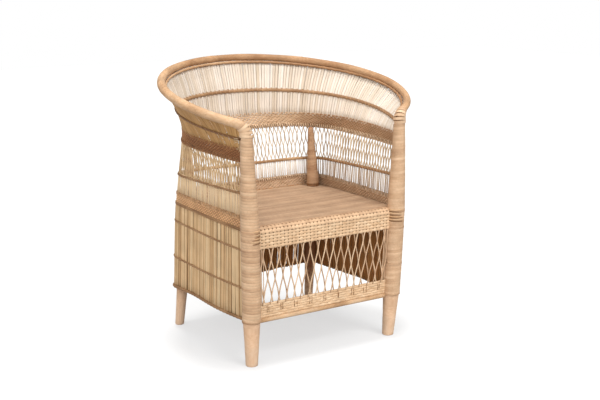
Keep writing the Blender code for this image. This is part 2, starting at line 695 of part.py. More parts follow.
def make_seat(front, rear, weave):
    """Woven seat: the outline inside the wall, rounded along its front edge and cut round the posts.
    Its top sags by a parabola, in rings drawn in towards its middle."""
    s = along("whole", np.linspace(0, 1, STATIONS + 1), SEAT_H)
    inside = offset_wall(s, SEAT_H - SEAT_BAND_HEIGHT / 4, -BAND_HALF - FIT)
    front_y = front_axis(SEAT_Z)[1] - APRON_HALF
    rings = [(SEAT_Z - SEAT_THICKNESS, 0.0)]
    for angle in np.linspace(0, math.pi / 2, EDGE_RINGS):
        rings.append((SEAT_Z - SEAT_EDGE * (1 - math.sin(angle)), SEAT_EDGE * (1 - math.cos(angle))))
    outline = []
    for z, back in rings:
        left = (inside[0, 0], front_y + back, z)
        right = (inside[-1, 0], front_y + back, z)
        outline.append([left, *((x, y, z) for x, y, _ in inside), right])
    edge = np.array(outline[-1])
    middle = (0.0, (front_y + inside[:, 1].max()) / 2, SEAT_Z)
    for share in np.linspace(1, 0, SAG_RINGS + 2)[1:-1]:
        sag = SEAT_SAG * (1 - share**2)
        outline.append(middle + (edge - middle) * share - (0, 0, sag))
    panel = loft("seat_panel", outline, weave)
    heights = (SEAT_Z - 2 * SEAT_THICKNESS, SEAT_Z + SEAT_THICKNESS)
    for end, post in (("front", front), ("rear", rear)):
        for side, turned in (("right", np.asarray), ("left", mirrored)):
            rings = [turned(circle(post, z, OVER_WRAP)) for z in heights]
            cutter = loft(f"cut_{end}_{side}", rings, weave)
            cutter.hide_render = True
            cutter.display_type = "WIRE"
            cut = panel.modifiers.new(cutter.name, "BOOLEAN")
            cut.operation = "DIFFERENCE"
            cut.object = cutter


def centre_chair():
    """Moves the whole chair along Y so that the origin lies under the middle of its box."""
    bpy.context.view_layer.update()
    ends = []
    for item in CHAIR.children:
        if not item.hide_render:
            ends += [(item.matrix_world @ vertex.co).y for vertex in item.to_mesh().vertices]
            item.to_mesh_clear()
    CHAIR.location.y = -(min(ends) + max(ends)) / 2
    print(f"chair moved by {CHAIR.location.y * 1000:.2f} mm along Y")


def main():
    for item in list(bpy.data.objects):
        if item is not CHAIR:
            bpy.data.objects.remove(item, do_unlink=True)
    bpy.context.scene.collection.objects.link(CHAIR)
    bare = cane("peeled_pole", (0.66, 0.45, 0.27), 0.45)
    peel = cane("cane_peel", (0.58, 0.37, 0.20), 0.50)
    canes = cane("straw_canes", (0.68, 0.50, 0.29), 0.60)
    weave = cane("woven_cane", (0.42, 0.25, 0.13), 0.70)
    reed = cane("split_reed", (0.40, 0.24, 0.12), 0.65)
    seat = cane("seat_weave", (0.55, 0.36, 0.20), 0.65)
    front, rear = make_posts(bare, peel)
    make_rim(peel, canes, reed)
    make_openwork(canes, weave, reed)
    make_skirt(canes, reed)
    make_front(peel, weave, peel)
    make_seat_frame(rear, bare)
    make_seat(front, rear, seat)
    centre_chair()


main()
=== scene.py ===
"""Looks of the barrel-back cane armchair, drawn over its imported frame.

Canes, strands, rods and wraps are superellipses carried along paths, a whole family at once.
The paths are read from the wall, the smooth surface through the hoops that the solids follow too.
Lengths are in metres. The chair faces -Y and is worked out about its own middle, then moved along Y
with the frame.
"""

import json
import math
from collections import namedtuple

import bpy
import numpy as np
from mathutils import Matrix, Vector


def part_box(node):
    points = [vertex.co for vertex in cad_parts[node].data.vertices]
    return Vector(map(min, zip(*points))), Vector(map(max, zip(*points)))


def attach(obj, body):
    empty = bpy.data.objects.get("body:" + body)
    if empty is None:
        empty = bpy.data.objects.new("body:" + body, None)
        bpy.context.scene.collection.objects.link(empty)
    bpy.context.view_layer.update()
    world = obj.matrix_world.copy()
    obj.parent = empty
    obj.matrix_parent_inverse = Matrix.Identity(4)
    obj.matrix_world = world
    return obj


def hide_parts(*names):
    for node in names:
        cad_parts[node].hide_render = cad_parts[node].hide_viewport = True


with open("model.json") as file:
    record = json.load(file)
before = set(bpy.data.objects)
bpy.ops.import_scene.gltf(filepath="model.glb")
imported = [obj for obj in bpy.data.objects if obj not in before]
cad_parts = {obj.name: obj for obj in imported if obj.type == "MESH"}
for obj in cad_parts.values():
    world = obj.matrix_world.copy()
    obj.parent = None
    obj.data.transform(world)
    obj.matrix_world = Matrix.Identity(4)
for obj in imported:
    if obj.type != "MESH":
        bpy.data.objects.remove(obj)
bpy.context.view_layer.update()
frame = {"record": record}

# Front posts from foot to top, bare radii of posts as (height, radius) pairs, place of the rear posts in s.
FRONT_FOOT_X = 0.242
FRONT_FOOT_Y = -0.2195
FRONT_TOP_X = 0.2605
FRONT_TOP_Y = -0.2335
FRONT_TOP_Z = 0.652
FRONT_BOW = 0.007
SEAT_Z = 0.400
POST_RADII = {
    "front": ((0.0, 0.0170), (0.127, 0.0240), (SEAT_Z, 0.0236), (FRONT_TOP_Z, 0.0145)),
    "rear": ((0.0, 0.0135), (0.128, 0.0172), (SEAT_Z, 0.0190), (0.580, 0.0066)),
}
POST_PLACE = 0.362
WRAP_THICKNESS = 0.0016

# The hoops that shape the wall, from the floor up.
Hoop = namedtuple("Hoop", "half_width widest_y back_y squareness tuck front_z back_z climb")
BOTTOM = Hoop(0.266, 0.020, 0.230, 15.0, 0.0, 0.127, 0.128, 1.0)
SEAT = Hoop(0.265, 0.010, 0.208, 11.0, 0.0, 0.412, 0.420, 1.0)
MID = Hoop(0.265, -0.006, 0.211, 7.5, 0.0, 0.495, 0.488, 1.0)
BAND_LOW = Hoop(0.275, -0.013, 0.233, 3.5, 0.12, 0.580, 0.593, 1.0)
BAND_TOP = Hoop(0.292, -0.015, 0.260, 2.4, 0.12, 0.620, 0.641, 1.2)
FLARE = Hoop(0.319, -0.023, 0.271, 2.2, 0.21, 0.642, 0.713, 0.86)
RIM = Hoop(0.375, -0.031, 0.299, 1.95, 0.67, 0.682, 0.814, 0.75)
HOOPS = (BOTTOM, SEAT, MID, BAND_LOW, BAND_TOP, FLARE, RIM)

# Rods, rim and front panel, as in the solids.
RIM_RADIUS = 0.0138
RIM_BEND = 0.034
ROD_RADIUS = 0.0038
BOTTOM_ROD_RADIUS = 0.0046
UPPER_BINDER_H = 0.338
LOWER_BINDER_H = 0.226
SEAT_BAND_HEIGHT = 0.034
APRON_LOW = 0.338
LOW_BAND_LOW = 0.1367
LOW_BAND_TOP = 0.1787
FRONT_RAIL_Z = 0.1295
FRONT_RAIL_RADIUS = 0.0068
RAIL_RADIUS = 0.0140
BEARER_RADIUS = 0.0080

# Counts round the wall: upright canes, strands of each lean in the lattice and how many places they travel.
# A weaver has PER_COLUMN stations to each wave.
STAKES = 164
SKIRT_CANES = 236
STRANDS = 92
STRAND_TRAVEL = 1.5
PER_COLUMN = 6

foot = next(m for m in frame["record"]["mounts"] if m["name"] == "foot_front_right")
MOVE_Y = foot["pos_m"][1] - FRONT_FOOT_Y
rng = np.random.default_rng(41)


def unit(vectors):
    """Vectors divided by their lengths."""
    return vectors / np.linalg.norm(vectors, axis=-1, keepdims=True)


def placed(x, y, z):
    """Coordinates, spread over each other's shapes and joined into points."""
    return np.stack(np.broadcast_arrays(x, y, z), axis=-1)


def front_axis(z):
    """Axis of the right front post: a straight line from foot to top, bowed forwards by a parabola."""
    t = z / FRONT_TOP_Z
    x = FRONT_FOOT_X + (FRONT_TOP_X - FRONT_FOOT_X) * t
    y = FRONT_FOOT_Y + (FRONT_TOP_Y - FRONT_FOOT_Y) * t - FRONT_BOW * 4 * t * (1 - t)
    return x, y


def eased(z, table):
    """Straight runs between (height, radius) pairs, averaged over 24 mm so that they blend."""
    heights, radii = np.array(table).T
    return sum(np.interp(z + step, heights, radii) for step in (-0.012, 0.0, 0.012)) / 3


def plan_of(hoop):
    """Right half of a hoop: a superellipse round the back, then a sine arc in to the front post's axis."""
    front_x, front_y = front_axis(hoop.front_z)
    angle = np.linspace(math.pi / 2, 0, 80)
    power = 2 / hoop.squareness
    rear_x = hoop.half_width * np.abs(np.cos(angle)) ** power
    rear_y = hoop.widest_y + (hoop.back_y - hoop.widest_y) * np.abs(np.sin(angle)) ** power
    rear_x[0] = 0.0
    t = np.linspace(1, 0, 40)[1:]
    bend = 1 - np.cos(t * math.pi / 2)
    side_x = front_x + (hoop.half_width - front_x) * np.sin(t * math.pi / 2)
    side_y = front_y + (hoop.widest_y - front_y) * ((1 - hoop.tuck) * t + hoop.tuck * bend)
    x = np.concatenate([rear_x, side_x])
    y = np.concatenate([rear_y, side_y])
    run = np.clip((y - front_y) / (hoop.back_y - front_y), 0, 1)
    z = hoop.front_z + (hoop.back_z - hoop.front_z) * run**hoop.climb
    return placed(x, y, z)


def length_of(points):
    """Distance run along a path at each of its points."""
    return np.insert(np.cumsum(np.linalg.norm(np.diff(points, axis=0), axis=1)), 0, 0.0)


PLANS = [plan_of(hoop) for hoop in HOOPS]
RUNS = [length_of(plan) for plan in PLANS]
HALF_LENGTHS = np.array([run[-1] for run in RUNS])
KNOTS = np.array([(hoop.front_z + hoop.back_z) / 2 for hoop in HOOPS])
FRONT_HEIGHTS = np.array([hoop.front_z for hoop in HOOPS])
BOTTOM_H, SEAT_H, MID_H, BAND_LOW_H, BAND_TOP_H, FLARE_H, RIM_H = KNOTS
SLOPE = 0.0005


def wall(s, h):
    """Wall surface: the hoops' points at s, from -1 to 1 round the chair, joined up the height h by a
    Catmull-Rom curve with uneven knots."""
    s, h = np.broadcast_arrays(np.asarray(s, float), np.asarray(h, float))
    points = []
    for plan, run in zip(PLANS, RUNS):
        x, y, z = (np.interp(np.abs(s) * run[-1], run, plan[:, axis]) for axis in range(3))
        points.append(placed(np.sign(s) * x, y, z))
    points = np.stack(points)
    spans = np.diff(KNOTS).reshape(-1, *[1] * (points.ndim - 1))
    chords = np.diff(points, axis=0) / spans
    inner = (chords[:-1] * spans[1:] + chords[1:] * spans[:-1]) / (spans[1:] + spans[:-1])
    slopes = np.concatenate([chords[:1], inner, chords[-1:]])
    k = np.clip(np.searchsorted(KNOTS, h, side="right") - 1, 0, len(KNOTS) - 2)
    span = np.diff(KNOTS)[k]
    t = ((h - KNOTS[k]) / span)[..., None]
    pick = (k, *np.indices(k.shape))
    after = (k + 1, *np.indices(k.shape))
    rise = span[..., None]
    return (
        points[pick] * (2 * t**3 - 3 * t**2 + 1)
        + slopes[pick] * rise * (t**3 - 2 * t**2 + t)
        + points[after] * (3 * t**2 - 2 * t**3)
        + slopes[after] * rise * (t**3 - t**2)
    )


def outward(s, h):
    """Unit normal of the wall: its slope up crossed with its slope round."""
    s, h = np.broadcast_arrays(np.asarray(s, float), np.asarray(h, float))
    across = wall(np.clip(s + SLOPE, -1, 1), h) - wall(np.clip(s - SLOPE, -1, 1), h)
    up = wall(s, h + SLOPE) - wall(s, h - SLOPE)
    return unit(np.cross(up, across))


def on_wall(s, h, distance=0.0):
    """Points that far outside the wall, and the wall's normals there."""
    out = outward(s, h)
    return wall(s, h) + out * np.asarray(distance)[..., None], out


def post_clear(h):
    """The s at which the wall meets the wrap of the right front post."""
    z = np.interp(h, KNOTS, FRONT_HEIGHTS)
    reach = eased(z, POST_RADII["front"]) + WRAP_THICKNESS + 0.0016
    return 1 - reach / np.interp(h, KNOTS, HALF_LENGTHS)


def stake_s(k, h, count=STAKES):
    """The s of place k of a count, from the left post, at a height: even steps between the posts."""
    return post_clear(h) * (2 * (k + 0.5) / count - 1)


def spacing(h, count=STAKES):
    """Distance between neighbours when a count of stakes stands evenly round the wall at a height."""
    return 2 * post_clear(h) * np.interp(h, KNOTS, HALF_LENGTHS) / count


# Waves of the skirt's hem: the s of each one's middle, its width in s, and its height.
HEM_WAVES = ((-0.57, 0.16, 0.007), (0.04, 0.33, -0.011), (0.78, 0.15, 0.006))


def hem_lift(s):
    """How far the skirt's hem swings up: a sum of bell curves, up on both sides and down at the back."""
    return sum(high * np.exp(-(((s - middle) / wide) ** 2)) for middle, wide, high in HEM_WAVES)


def rear_axis():
    """Right rear post: the wall at the corner, moved in by the post's radius and by a gap that is wider
    between the inner rods. Its foot goes on straight to the floor."""
    rods = (UPPER_BINDER_H - 2 * ROD_RADIUS, MID_H + 2 * ROD_RADIUS)
    h = np.unique([*rods, *np.linspace(BOTTOM_H, BAND_LOW_H, 9)])
    points = wall(POST_PLACE, h)
    away = unit(outward(POST_PLACE, h) * (1, 1, 0))
    gap = np.interp(h, (BOTTOM_H, *rods, BAND_LOW_H), (0.0038, 0.0118, 0.0118, 0.0038))
    radius = np.interp(points[:, 2], *np.array(POST_RADII["rear"]).T)
    axis = points - away * (radius + WRAP_THICKNESS + 0.0012 + gap)[:, None]
    splay = (axis[1] - axis[0]) / (axis[1, 2] - axis[0, 2])
    return np.concatenate([[axis[0] - splay * axis[0, 2]], axis])


REAR_AXIS = rear_axis()


def axis_of(end, z):
    """Centre of the right front or rear post at heights."""
    if end == "front":
        x, y = front_axis(z)
    else:
        x, y = (np.interp(z, REAR_AXIS[:, 2], REAR_AXIS[:, axis]) for axis in (0, 1))
    return placed(x, y, z)


# A sweep holds rings (paths, stations, sides, 3) and a tone from 0 to 1 for each station.
Sweep = namedtuple("Sweep", "rings tone")


def rounded(angle, power):
    """Cosine and sine of an angle, each raised to a power with its sign kept."""
    return (np.sign(wave) * np.abs(wave) ** power for wave in (np.cos(angle), np.sin(angle)))


def carried(paths, outs, half_width, half_depth, tone, sides=6, power=1.0):
    """Superellipses carried along paths: half width times a power of the cosine along the sideways
    direction, plus half depth times that power of the sine along the outward direction."""
    paths = np.asarray(paths, float)
    count, stations = paths.shape[:2]
    tangent = np.gradient(paths, axis=1)
    side = unit(np.cross(np.broadcast_to(outs, paths.shape), tangent))
    out = unit(np.cross(tangent, side))
    angle = np.linspace(0, 2 * math.pi, sides, endpoint=False)
    across, deep = rounded(angle, power)
    width = np.broadcast_to(half_width, (count, stations))[..., None, None]
    depth = np.broadcast_to(half_depth, (count, stations))[..., None, None]
    sideways = side[:, :, None] * across[:, None] * width
    rings = paths[:, :, None] + sideways + out[:, :, None] * deep[:, None] * depth
    tone = np.asarray(tone, float)
    if tone.ndim == 1:
        tone = tone[:, None]
    return Sweep(rings, np.broadcast_to(tone, (count, stations)))


def mirrored(sweep):
    """The sweep on the chair's left: x changes sign, and the sides run the other way round."""
    return Sweep((sweep.rings * (-1, 1, 1))[:, :, ::-1], sweep.tone)


def linked(name, data):
    """A new object with that data, in the scene."""
    item = bpy.data.objects.new(name, data)
    bpy.context.scene.collection.objects.link(item)
    return item


def add_piece(name, sweeps, material, slot, *nodes, sharp=None):
    """Puts sweeps into one mesh: quads between neighbouring rings and a cap on both ends of each path. The
    UV map runs in metres along a path and from 0 to 1 round it. Edges above the angle sharp stay sharp."""
    points, tones, loops, sizes, uvs = [], [], [], [], []
    base = 0
    for rings, tone in sweeps:
        count, stations, sides = rings.shape[:3]
        index = base + np.arange(count * stations * sides).reshape(count, stations, sides)
        after = np.roll(index, -1, axis=2)
        quads = np.stack([index[:, :-1], after[:, :-1], after[:, 1:], index[:, 1:]], axis=-1)
        steps = np.linalg.norm(np.diff(rings.mean(axis=2), axis=1), axis=-1)
        u = np.concatenate([np.zeros((count, 1)), np.cumsum(steps, axis=1)], axis=1)
        v = np.linspace(0, 1, sides + 1)
        near, far = (np.broadcast_to(part[..., None], quads.shape[:3]) for part in (u[:, :-1], u[:, 1:]))
        low, high = (np.broadcast_to(part, quads.shape[:3]) for part in (v[:-1], v[1:]))
        quad_uv = np.stack([near, low, near, high, far, high, far, low], axis=-1).reshape(-1, 2)
        caps = np.concatenate([index[:, 0, ::-1], index[:, -1]])
        cap_u = np.repeat(np.concatenate([u[:, 0], u[:, -1]]), sides)
        cap_uv = np.stack([cap_u, np.full(len(cap_u), 0.5)], axis=1)
        sizes += [np.full(quads.size // 4, 4), np.full(len(caps), sides)]
        loops += [quads.reshape(-1), caps.reshape(-1)]
        uvs += [quad_uv, cap_uv]
        points.append(rings.reshape(-1, 3))
        tones.append(np.repeat(tone.reshape(-1), sides))
        base += index.size
    points = np.concatenate(points) + (0, MOVE_Y, 0)
    loops = np.concatenate(loops)
    sizes = np.concatenate(sizes)
    mesh = bpy.data.meshes.new(name)
    mesh.vertices.add(len(points))
    mesh.vertices.foreach_set("co", points.astype(np.float32).reshape(-1))
    mesh.loops.add(len(loops))
    mesh.loops.foreach_set("vertex_index", loops.astype(np.int32))
    mesh.polygons.add(len(sizes))
    mesh.polygons.foreach_set("loop_start", (np.cumsum(sizes) - sizes).astype(np.int32))
    uv_map = mesh.uv_layers.new(name="along")
    uv_map.data.foreach_set("uv", np.concatenate(uvs).astype(np.float32).reshape(-1))
    shade = mesh.attributes.new("tone", "FLOAT", "POINT")
    shade.data.foreach_set("value", np.concatenate(tones).astype(np.float32))
    mesh.update(calc_edges=True)
    mesh.validate()
    mesh.shade_smooth()
    if sharp:
        mesh.set_sharp_from_angle(angle=math.radians(sharp))
    mesh.materials.append(material)
    item = linked(name, mesh)
    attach(item, "root")
    if nodes:
        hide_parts(*nodes)


def linear(red, green, blue):
    """A colour of screen values from 0 to 255, as linear light."""
    values = np.array([red, green, blue]) / 255
    return (*np.where(values <= 0.04045, values / 12.92, ((values + 0.055) / 1.055) ** 2.4), 1.0)


def fill(tree, node, inputs):
    """Sets inputs of a shader node to values, or links them to other nodes' outputs."""
    for key, value in inputs.items():
        if isinstance(value, bpy.types.NodeSocket):
            tree.links.new(value, node.inputs[key])
        else:
            node.inputs[key].default_value = value


def add_node(tree, kind, inputs, **settings):
    """A new shader node with its settings and inputs."""
    node = tree.nodes.new(f"ShaderNode{kind}")
    for key, value in settings.items():
        setattr(node, key, value)
    fill(tree, node, inputs)
    return node


# What all canes share: a shift of the fibre noise from tone to tone, the blotches' scale, shine and relief.
WHITE = (1.0, 1.0, 1.0)
TONE_SHIFT = 61.0
BLOTCH_SCALE = 22.0
ROUGHNESS = (0.45, 0.70)
SHINE = 0.3
RELIEF = 0.22
RELIEF_HEIGHT = 0.0008


def cane_finish(name, shades, grain, fibre, blotch, crease_shade=0.0, inside=WHITE, outside=WHITE):
    """Cane: a ramp from dark through middle to light, read at the strand's tone plus fine fibre noise drawn
    out along the strand. Soft blotches darken it. Its two flanks are darkened too, painted shade as in the
    creases between neighbouring strands. An inner tint, where given, is painted shade on faces that look
    into the chair; an outer tint is partly the cane's own outer colour and partly painted shade. The fibre
    noise also lifts the surface."""
    material = bpy.data.materials.new(name)
    material.use_nodes = True
    tree = material.node_tree

    def number(operation, *given):
        return add_node(tree, "Math", dict(enumerate(given)), operation=operation).outputs[0]

    def mapped(*given):
        return add_node(tree, "MapRange", dict(enumerate(given))).outputs["Result"]

    def noise(vector, scale, detail):
        inputs = {"Vector": vector, "Scale": scale, "Detail": detail}
        return add_node(tree, "TexNoise", inputs).outputs["Fac"]

    def mixed(blend, factor, first, second):
        inputs = {"Factor": factor, "A": first, "B": second}
        return add_node(tree, "Mix", inputs, data_type="RGBA", blend_type=blend).outputs["Result"]

    tone = add_node(tree, "Attribute", {}, attribute_name="tone").outputs["Fac"]
    strand = add_node(tree, "UVMap", {}, uv_map="along").outputs["UV"]
    along, across, _ = add_node(tree, "SeparateXYZ", {0: strand}).outputs
    scaled = ((along, grain[0]), (across, grain[1]), (tone, TONE_SHIFT))
    drawn = {axis: number("MULTIPLY", *pair) for axis, pair in enumerate(scaled)}
    fibres = noise(add_node(tree, "CombineXYZ", drawn).outputs[0], 1.0, 4.0)
    place = number("ADD", tone, number("MULTIPLY", number("SUBTRACT", fibres, 0.5), fibre))
    ramp = add_node(tree, "ValToRGB", {"Fac": place})
    ramp.color_ramp.elements.new(0.5)
    for element, shade in zip(ramp.color_ramp.elements, shades):
        element.color = linear(*shade)
    soft = noise(add_node(tree, "TexCoord", {}).outputs["Object"], BLOTCH_SCALE, 3.0)
    colour = mixed("MULTIPLY", 1.0, ramp.outputs["Color"], mapped(soft, 0.3, 0.7, 1.0 - blotch, 1.0))
    turn = number("MULTIPLY", across, 2 * math.pi)
    # Painted shade: the strand's flanks are darkened as in the creases between strands.
    if crease_shade:
        flank_shade = number("POWER", number("ABSOLUTE", number("COSINE", turn)), 4.0)
        colour = mixed("MULTIPLY", 1.0, colour, mapped(flank_shade, 0.0, 1.0, 1.0, 1.0 - crease_shade))
    # Painted shade: an inner tint darkens faces that look into the chair; an outer tint is partly the
    # cane's own outer colour and partly painted shade.
    if inside != outside:
        facing = mapped(number("SINE", turn), -0.2, 0.2, 0.0, 1.0)
        tint = mixed("MIX", facing, (*inside, 1.0), (*outside, 1.0))
        colour = mixed("MULTIPLY", 1.0, colour, tint)
    relief = add_node(tree, "Bump", {"Strength": RELIEF, "Distance": RELIEF_HEIGHT, "Height": fibres})
    looks = {
        "Base Color": colour,
        "Roughness": mapped(fibres, 0.0, 1.0, *ROUGHNESS),
        "Specular IOR Level": SHINE,
        "Normal": relief.outputs["Normal"],
    }
    fill(tree, tree.nodes["Principled BSDF"], looks)
    return material


# Grain of each kind of cane: how fine its fibres are along a strand and across it.
POLE_GRAIN = (12.0, 14.0)
RIM_GRAIN = (14.0, 16.0)
REED_GRAIN = (60.0, 6.0)
CANE_GRAIN = (20.0, 7.0)
WEAVE_GRAIN = (90.0, 5.0)
SEAT_GRAIN = (60.0, 5.0)

# Below, flank darkening paints shade between strands, an inner tint paints shade inside the chair, and an
# outer tint is partly the cane's own outer colour and partly painted shade on the chair's exterior.
POLE = cane_finish(
    "peeled_pole", ((198, 154, 116), (226, 187, 152), (243, 212, 182)), POLE_GRAIN, fibre=0.8, blotch=0.18
)
# Rear poles: a darker dark end, for the painted shade on the rear poles inside the chair.
REAR_POLE = cane_finish(
    "rear_pole", ((158, 98, 54), (226, 187, 152), (243, 212, 182)), POLE_GRAIN, fibre=0.6, blotch=0.18
)
PEEL = cane_finish(
    "cane_peel", ((170, 129, 95), (210, 172, 136), (236, 203, 167)), REED_GRAIN,
    fibre=0.6, blotch=0.16, crease_shade=0.16,
)
RIM_FINISH = cane_finish(
    "rim_pole", ((164, 120, 82), (204, 164, 124), (230, 197, 162)), RIM_GRAIN, fibre=0.9, blotch=0.22
)
REED = cane_finish(
    "split_reed", ((150, 112, 78), (186, 146, 106), (214, 176, 134)), REED_GRAIN,
    fibre=0.5, blotch=0.15, outside=(0.74, 0.68, 0.62),
)
# Skirt canes: the inner tint is painted shade inside the skirt, and the strong flank darkening is painted
# shade between the close-set canes.
STRAW = cane_finish(
    "straw_canes", ((176, 134, 88), (222, 182, 134), (244, 214, 170)), CANE_GRAIN,
    fibre=0.55, blotch=0.18, crease_shade=0.72, inside=(0.82, 0.50, 0.24),
)
# Flare staves: the outer tint is partly the staves' own ochre colour and partly painted shade on the
# chair's exterior.
CREAM = cane_finish(
    "flare_staves", ((215, 196, 172), (230, 214, 195), (241, 229, 215)), CANE_GRAIN,
    fibre=0.4, blotch=0.08, crease_shade=0.13, outside=(0.68, 0.44, 0.20),
)
STRAND_FINISH = cane_finish(
    "lattice_strands", ((168, 138, 104), (210, 182, 146), (236, 214, 182)), CANE_GRAIN,
    fibre=0.45, blotch=0.10, outside=(1.0, 0.92, 0.78),
)
# Lattice staves: the outer tint is partly their own warm colour and partly painted shade on the chair's
# exterior.
STAVE_FINISH = cane_finish(
    "lattice_staves", ((178, 144, 106), (246, 232, 214), (254, 247, 238)), CANE_GRAIN,
    fibre=0.4, blotch=0.06, crease_shade=0.12, outside=(0.86, 0.69, 0.47),
)
# Upper band: the outer tint is partly the weave's own red-brown and partly painted shade on the chair's
# exterior.
WEAVE = cane_finish(
    "woven_cane", ((160, 120, 85), (216, 180, 143), (246, 214, 180)), WEAVE_GRAIN,
    fibre=0.6, blotch=0.18, crease_shade=0.3, outside=(0.60, 0.40, 0.26),
)
# Seat band: the outer tint is partly the weave's own colour and partly painted shade on the chair's
# exterior.
SEAT_WEAVE = cane_finish(
    "seat_band_weave", ((168, 130, 98), (228, 193, 157), (246, 218, 188)), WEAVE_GRAIN,
    fibre=0.6, blotch=0.18, crease_shade=0.3, outside=(0.98, 0.82, 0.64),
)
FRONT_WEAVE = cane_finish(
    "front_weave", ((194, 153, 112), (226, 189, 150), (242, 211, 174)), WEAVE_GRAIN,
    fibre=0.6, blotch=0.12, crease_shade=0.15,
)
# Seat edge weave: darker than the front weave, painted shade against the light on the edge's upward faces.
EDGE_WEAVE = cane_finish(
    "edge_weave", ((160, 124, 92), (194, 158, 124), (228, 192, 154)), WEAVE_GRAIN,
    fibre=0.6, blotch=0.12, crease_shade=0.15,
)
SEAT_FINISH = cane_finish(
    "seat_weave", ((142, 109, 82), (171, 139, 110), (197, 165, 133)), SEAT_GRAIN, fibre=0.5, blotch=0.18
)
# Dark reed: the finish of real dark reed and ties, and of pieces that only paint shadow or the shade in the
# weave's notches.
DARK_REED_AND_SHADOW = cane_finish(
    "dark_reed_and_shadow", ((112, 78, 48), (148, 106, 70), (176, 132, 92)), REED_GRAIN, fibre=0.5, blotch=0.2
)


def streaks(count, steps, low=0.2, high=0.8):
    """A tone along a path: random values at its steps, joined smoothly over the count of stations."""
    values = rng.uniform(low, high, steps + 1)
    t = np.linspace(0, steps, count)
    k = np.minimum(t.astype(int), steps - 1)
    ease = (t - k) ** 2 * (3 - 2 * (t - k))
    return values[k] + (values[k + 1] - values[k]) * ease


# Poles: heights in a rounded foot and what is taken off the radius there, and the shaft's rings above it.
FOOT_HEIGHTS = (0.0, 0.0006, 0.0016, 0.0032)
FOOT_CUTS = (0.0024, 0.0012, 0.0004, 0.0)
SHAFT_LOW = 0.012
SHAFT_RINGS = 44
POLE_SIDES = 24


def make_posts():
    """Poles: circles of the post's radius up its axis, with a slow ripple of two sines and a rounded foot.
    The rear poles are painted darker upwards, the left one from the skirt's hem and the right one from its
    foot on: painted shade inside the chair."""
    angle = np.linspace(0, 2 * math.pi, POLE_SIDES, endpoint=False)
    around = placed(np.cos(angle), np.sin(angle), 0 * angle)
    for end, high, finish in (("front", FRONT_TOP_Z, POLE), ("rear", REAR_AXIS[-1, 2], REAR_POLE)):
        z = np.concatenate([FOOT_HEIGHTS, np.linspace(SHAFT_LOW, high, SHAFT_RINGS)])
        ripple = 1 + 0.010 * np.sin(z * 61) + 0.006 * np.sin(z * 147 + 1)
        radius = eased(z, POST_RADII[end]) * ripple - np.interp(z, FOOT_HEIGHTS, FOOT_CUTS)
        rings = (axis_of(end, z)[:, None] + around * radius[:, None, None])[None]
        tone = streaks(len(z), 9, 0.35, 0.75)[None]
        right_painted_shade = left_painted_shade = 1.0
        # Painted shade: the rear poles' tone falls inside the chair.
        if end == "rear":
            right_painted_shade = np.interp(z, (0.0, 0.05, 0.15), (0.7, 0.45, 0.1))
            left_painted_shade = np.interp(z, (0.11, 0.15), (1.0, 0.1))
        right = Sweep(rings, tone * right_painted_shade)
        left = mirrored(Sweep(rings, tone * left_painted_shade))
        for side, pole in (("right", right), ("left", left)):
            add_piece(f"{end}_{side}_pole", [pole], finish, "peeled_pole", f"{end}_{side}_post")


# Peel wound round posts and rim. Its edges stay sharp above an angle in degrees.
PEEL_THICKNESS = 0.0009
PEEL_SHARP = 22
FRONT_WRAP_LOW = 0.129
FRONT_WRAP_TURNS = 63
REAR_WRAP_LOW = SEAT_Z + 0.004
REAR_WRAP_TURNS = 21
X_AXIS = np.array([1.0, 0.0, 0.0])
Y_AXIS = np.array([0.0, 1.0, 0.0])
UP_SPOKES = (X_AXIS, Y_AXIS)


def wound(axis, radius, pitch, turns, tones, thickness=PEEL_THICKNESS, per_turn=24):
    """A strip wound round an axis: a helix of the given pitch, half the strip's thickness outside the bare
    radius, lifted a little by two slow sines."""
    count = int(turns * per_turn)
    angle = np.arange(count + 1) * 2 * math.pi / per_turn
    run = angle * pitch / (2 * math.pi)
    centre, first, second = axis(run)
    spoke = first * np.cos(angle)[:, None] + second * np.sin(angle)[:, None]
    lift = 0.00012 * np.sin(angle * 0.37) + 0.00012 * np.sin(angle * 0.91 + 2)
    path = centre + spoke * (radius(run) + thickness / 2 + lift)[:, None]
    shades = streaks(count + 1, *tones)[None]
    return carried(path[None], spoke[None], pitch * 0.515, thickness / 2, shades, sides=8, power=0.3)


def post_strip(end, low, off, pitch, turns, tones, thickness=PEEL_THICKNESS, raised=0.0, spokes=UP_SPOKES):
    """A strip wound up a right-hand post from a height, that far off the pole whose radius is read there.
    It starts along the first spoke and turns towards the second, and the whole may be raised."""

    def axis(run):
        return axis_of(end, low + raised + run), *spokes

    def radius(run):
        return eased(low + run, POST_RADII[end]) + off

    return wound(axis, radius, pitch, turns, tones, thickness)


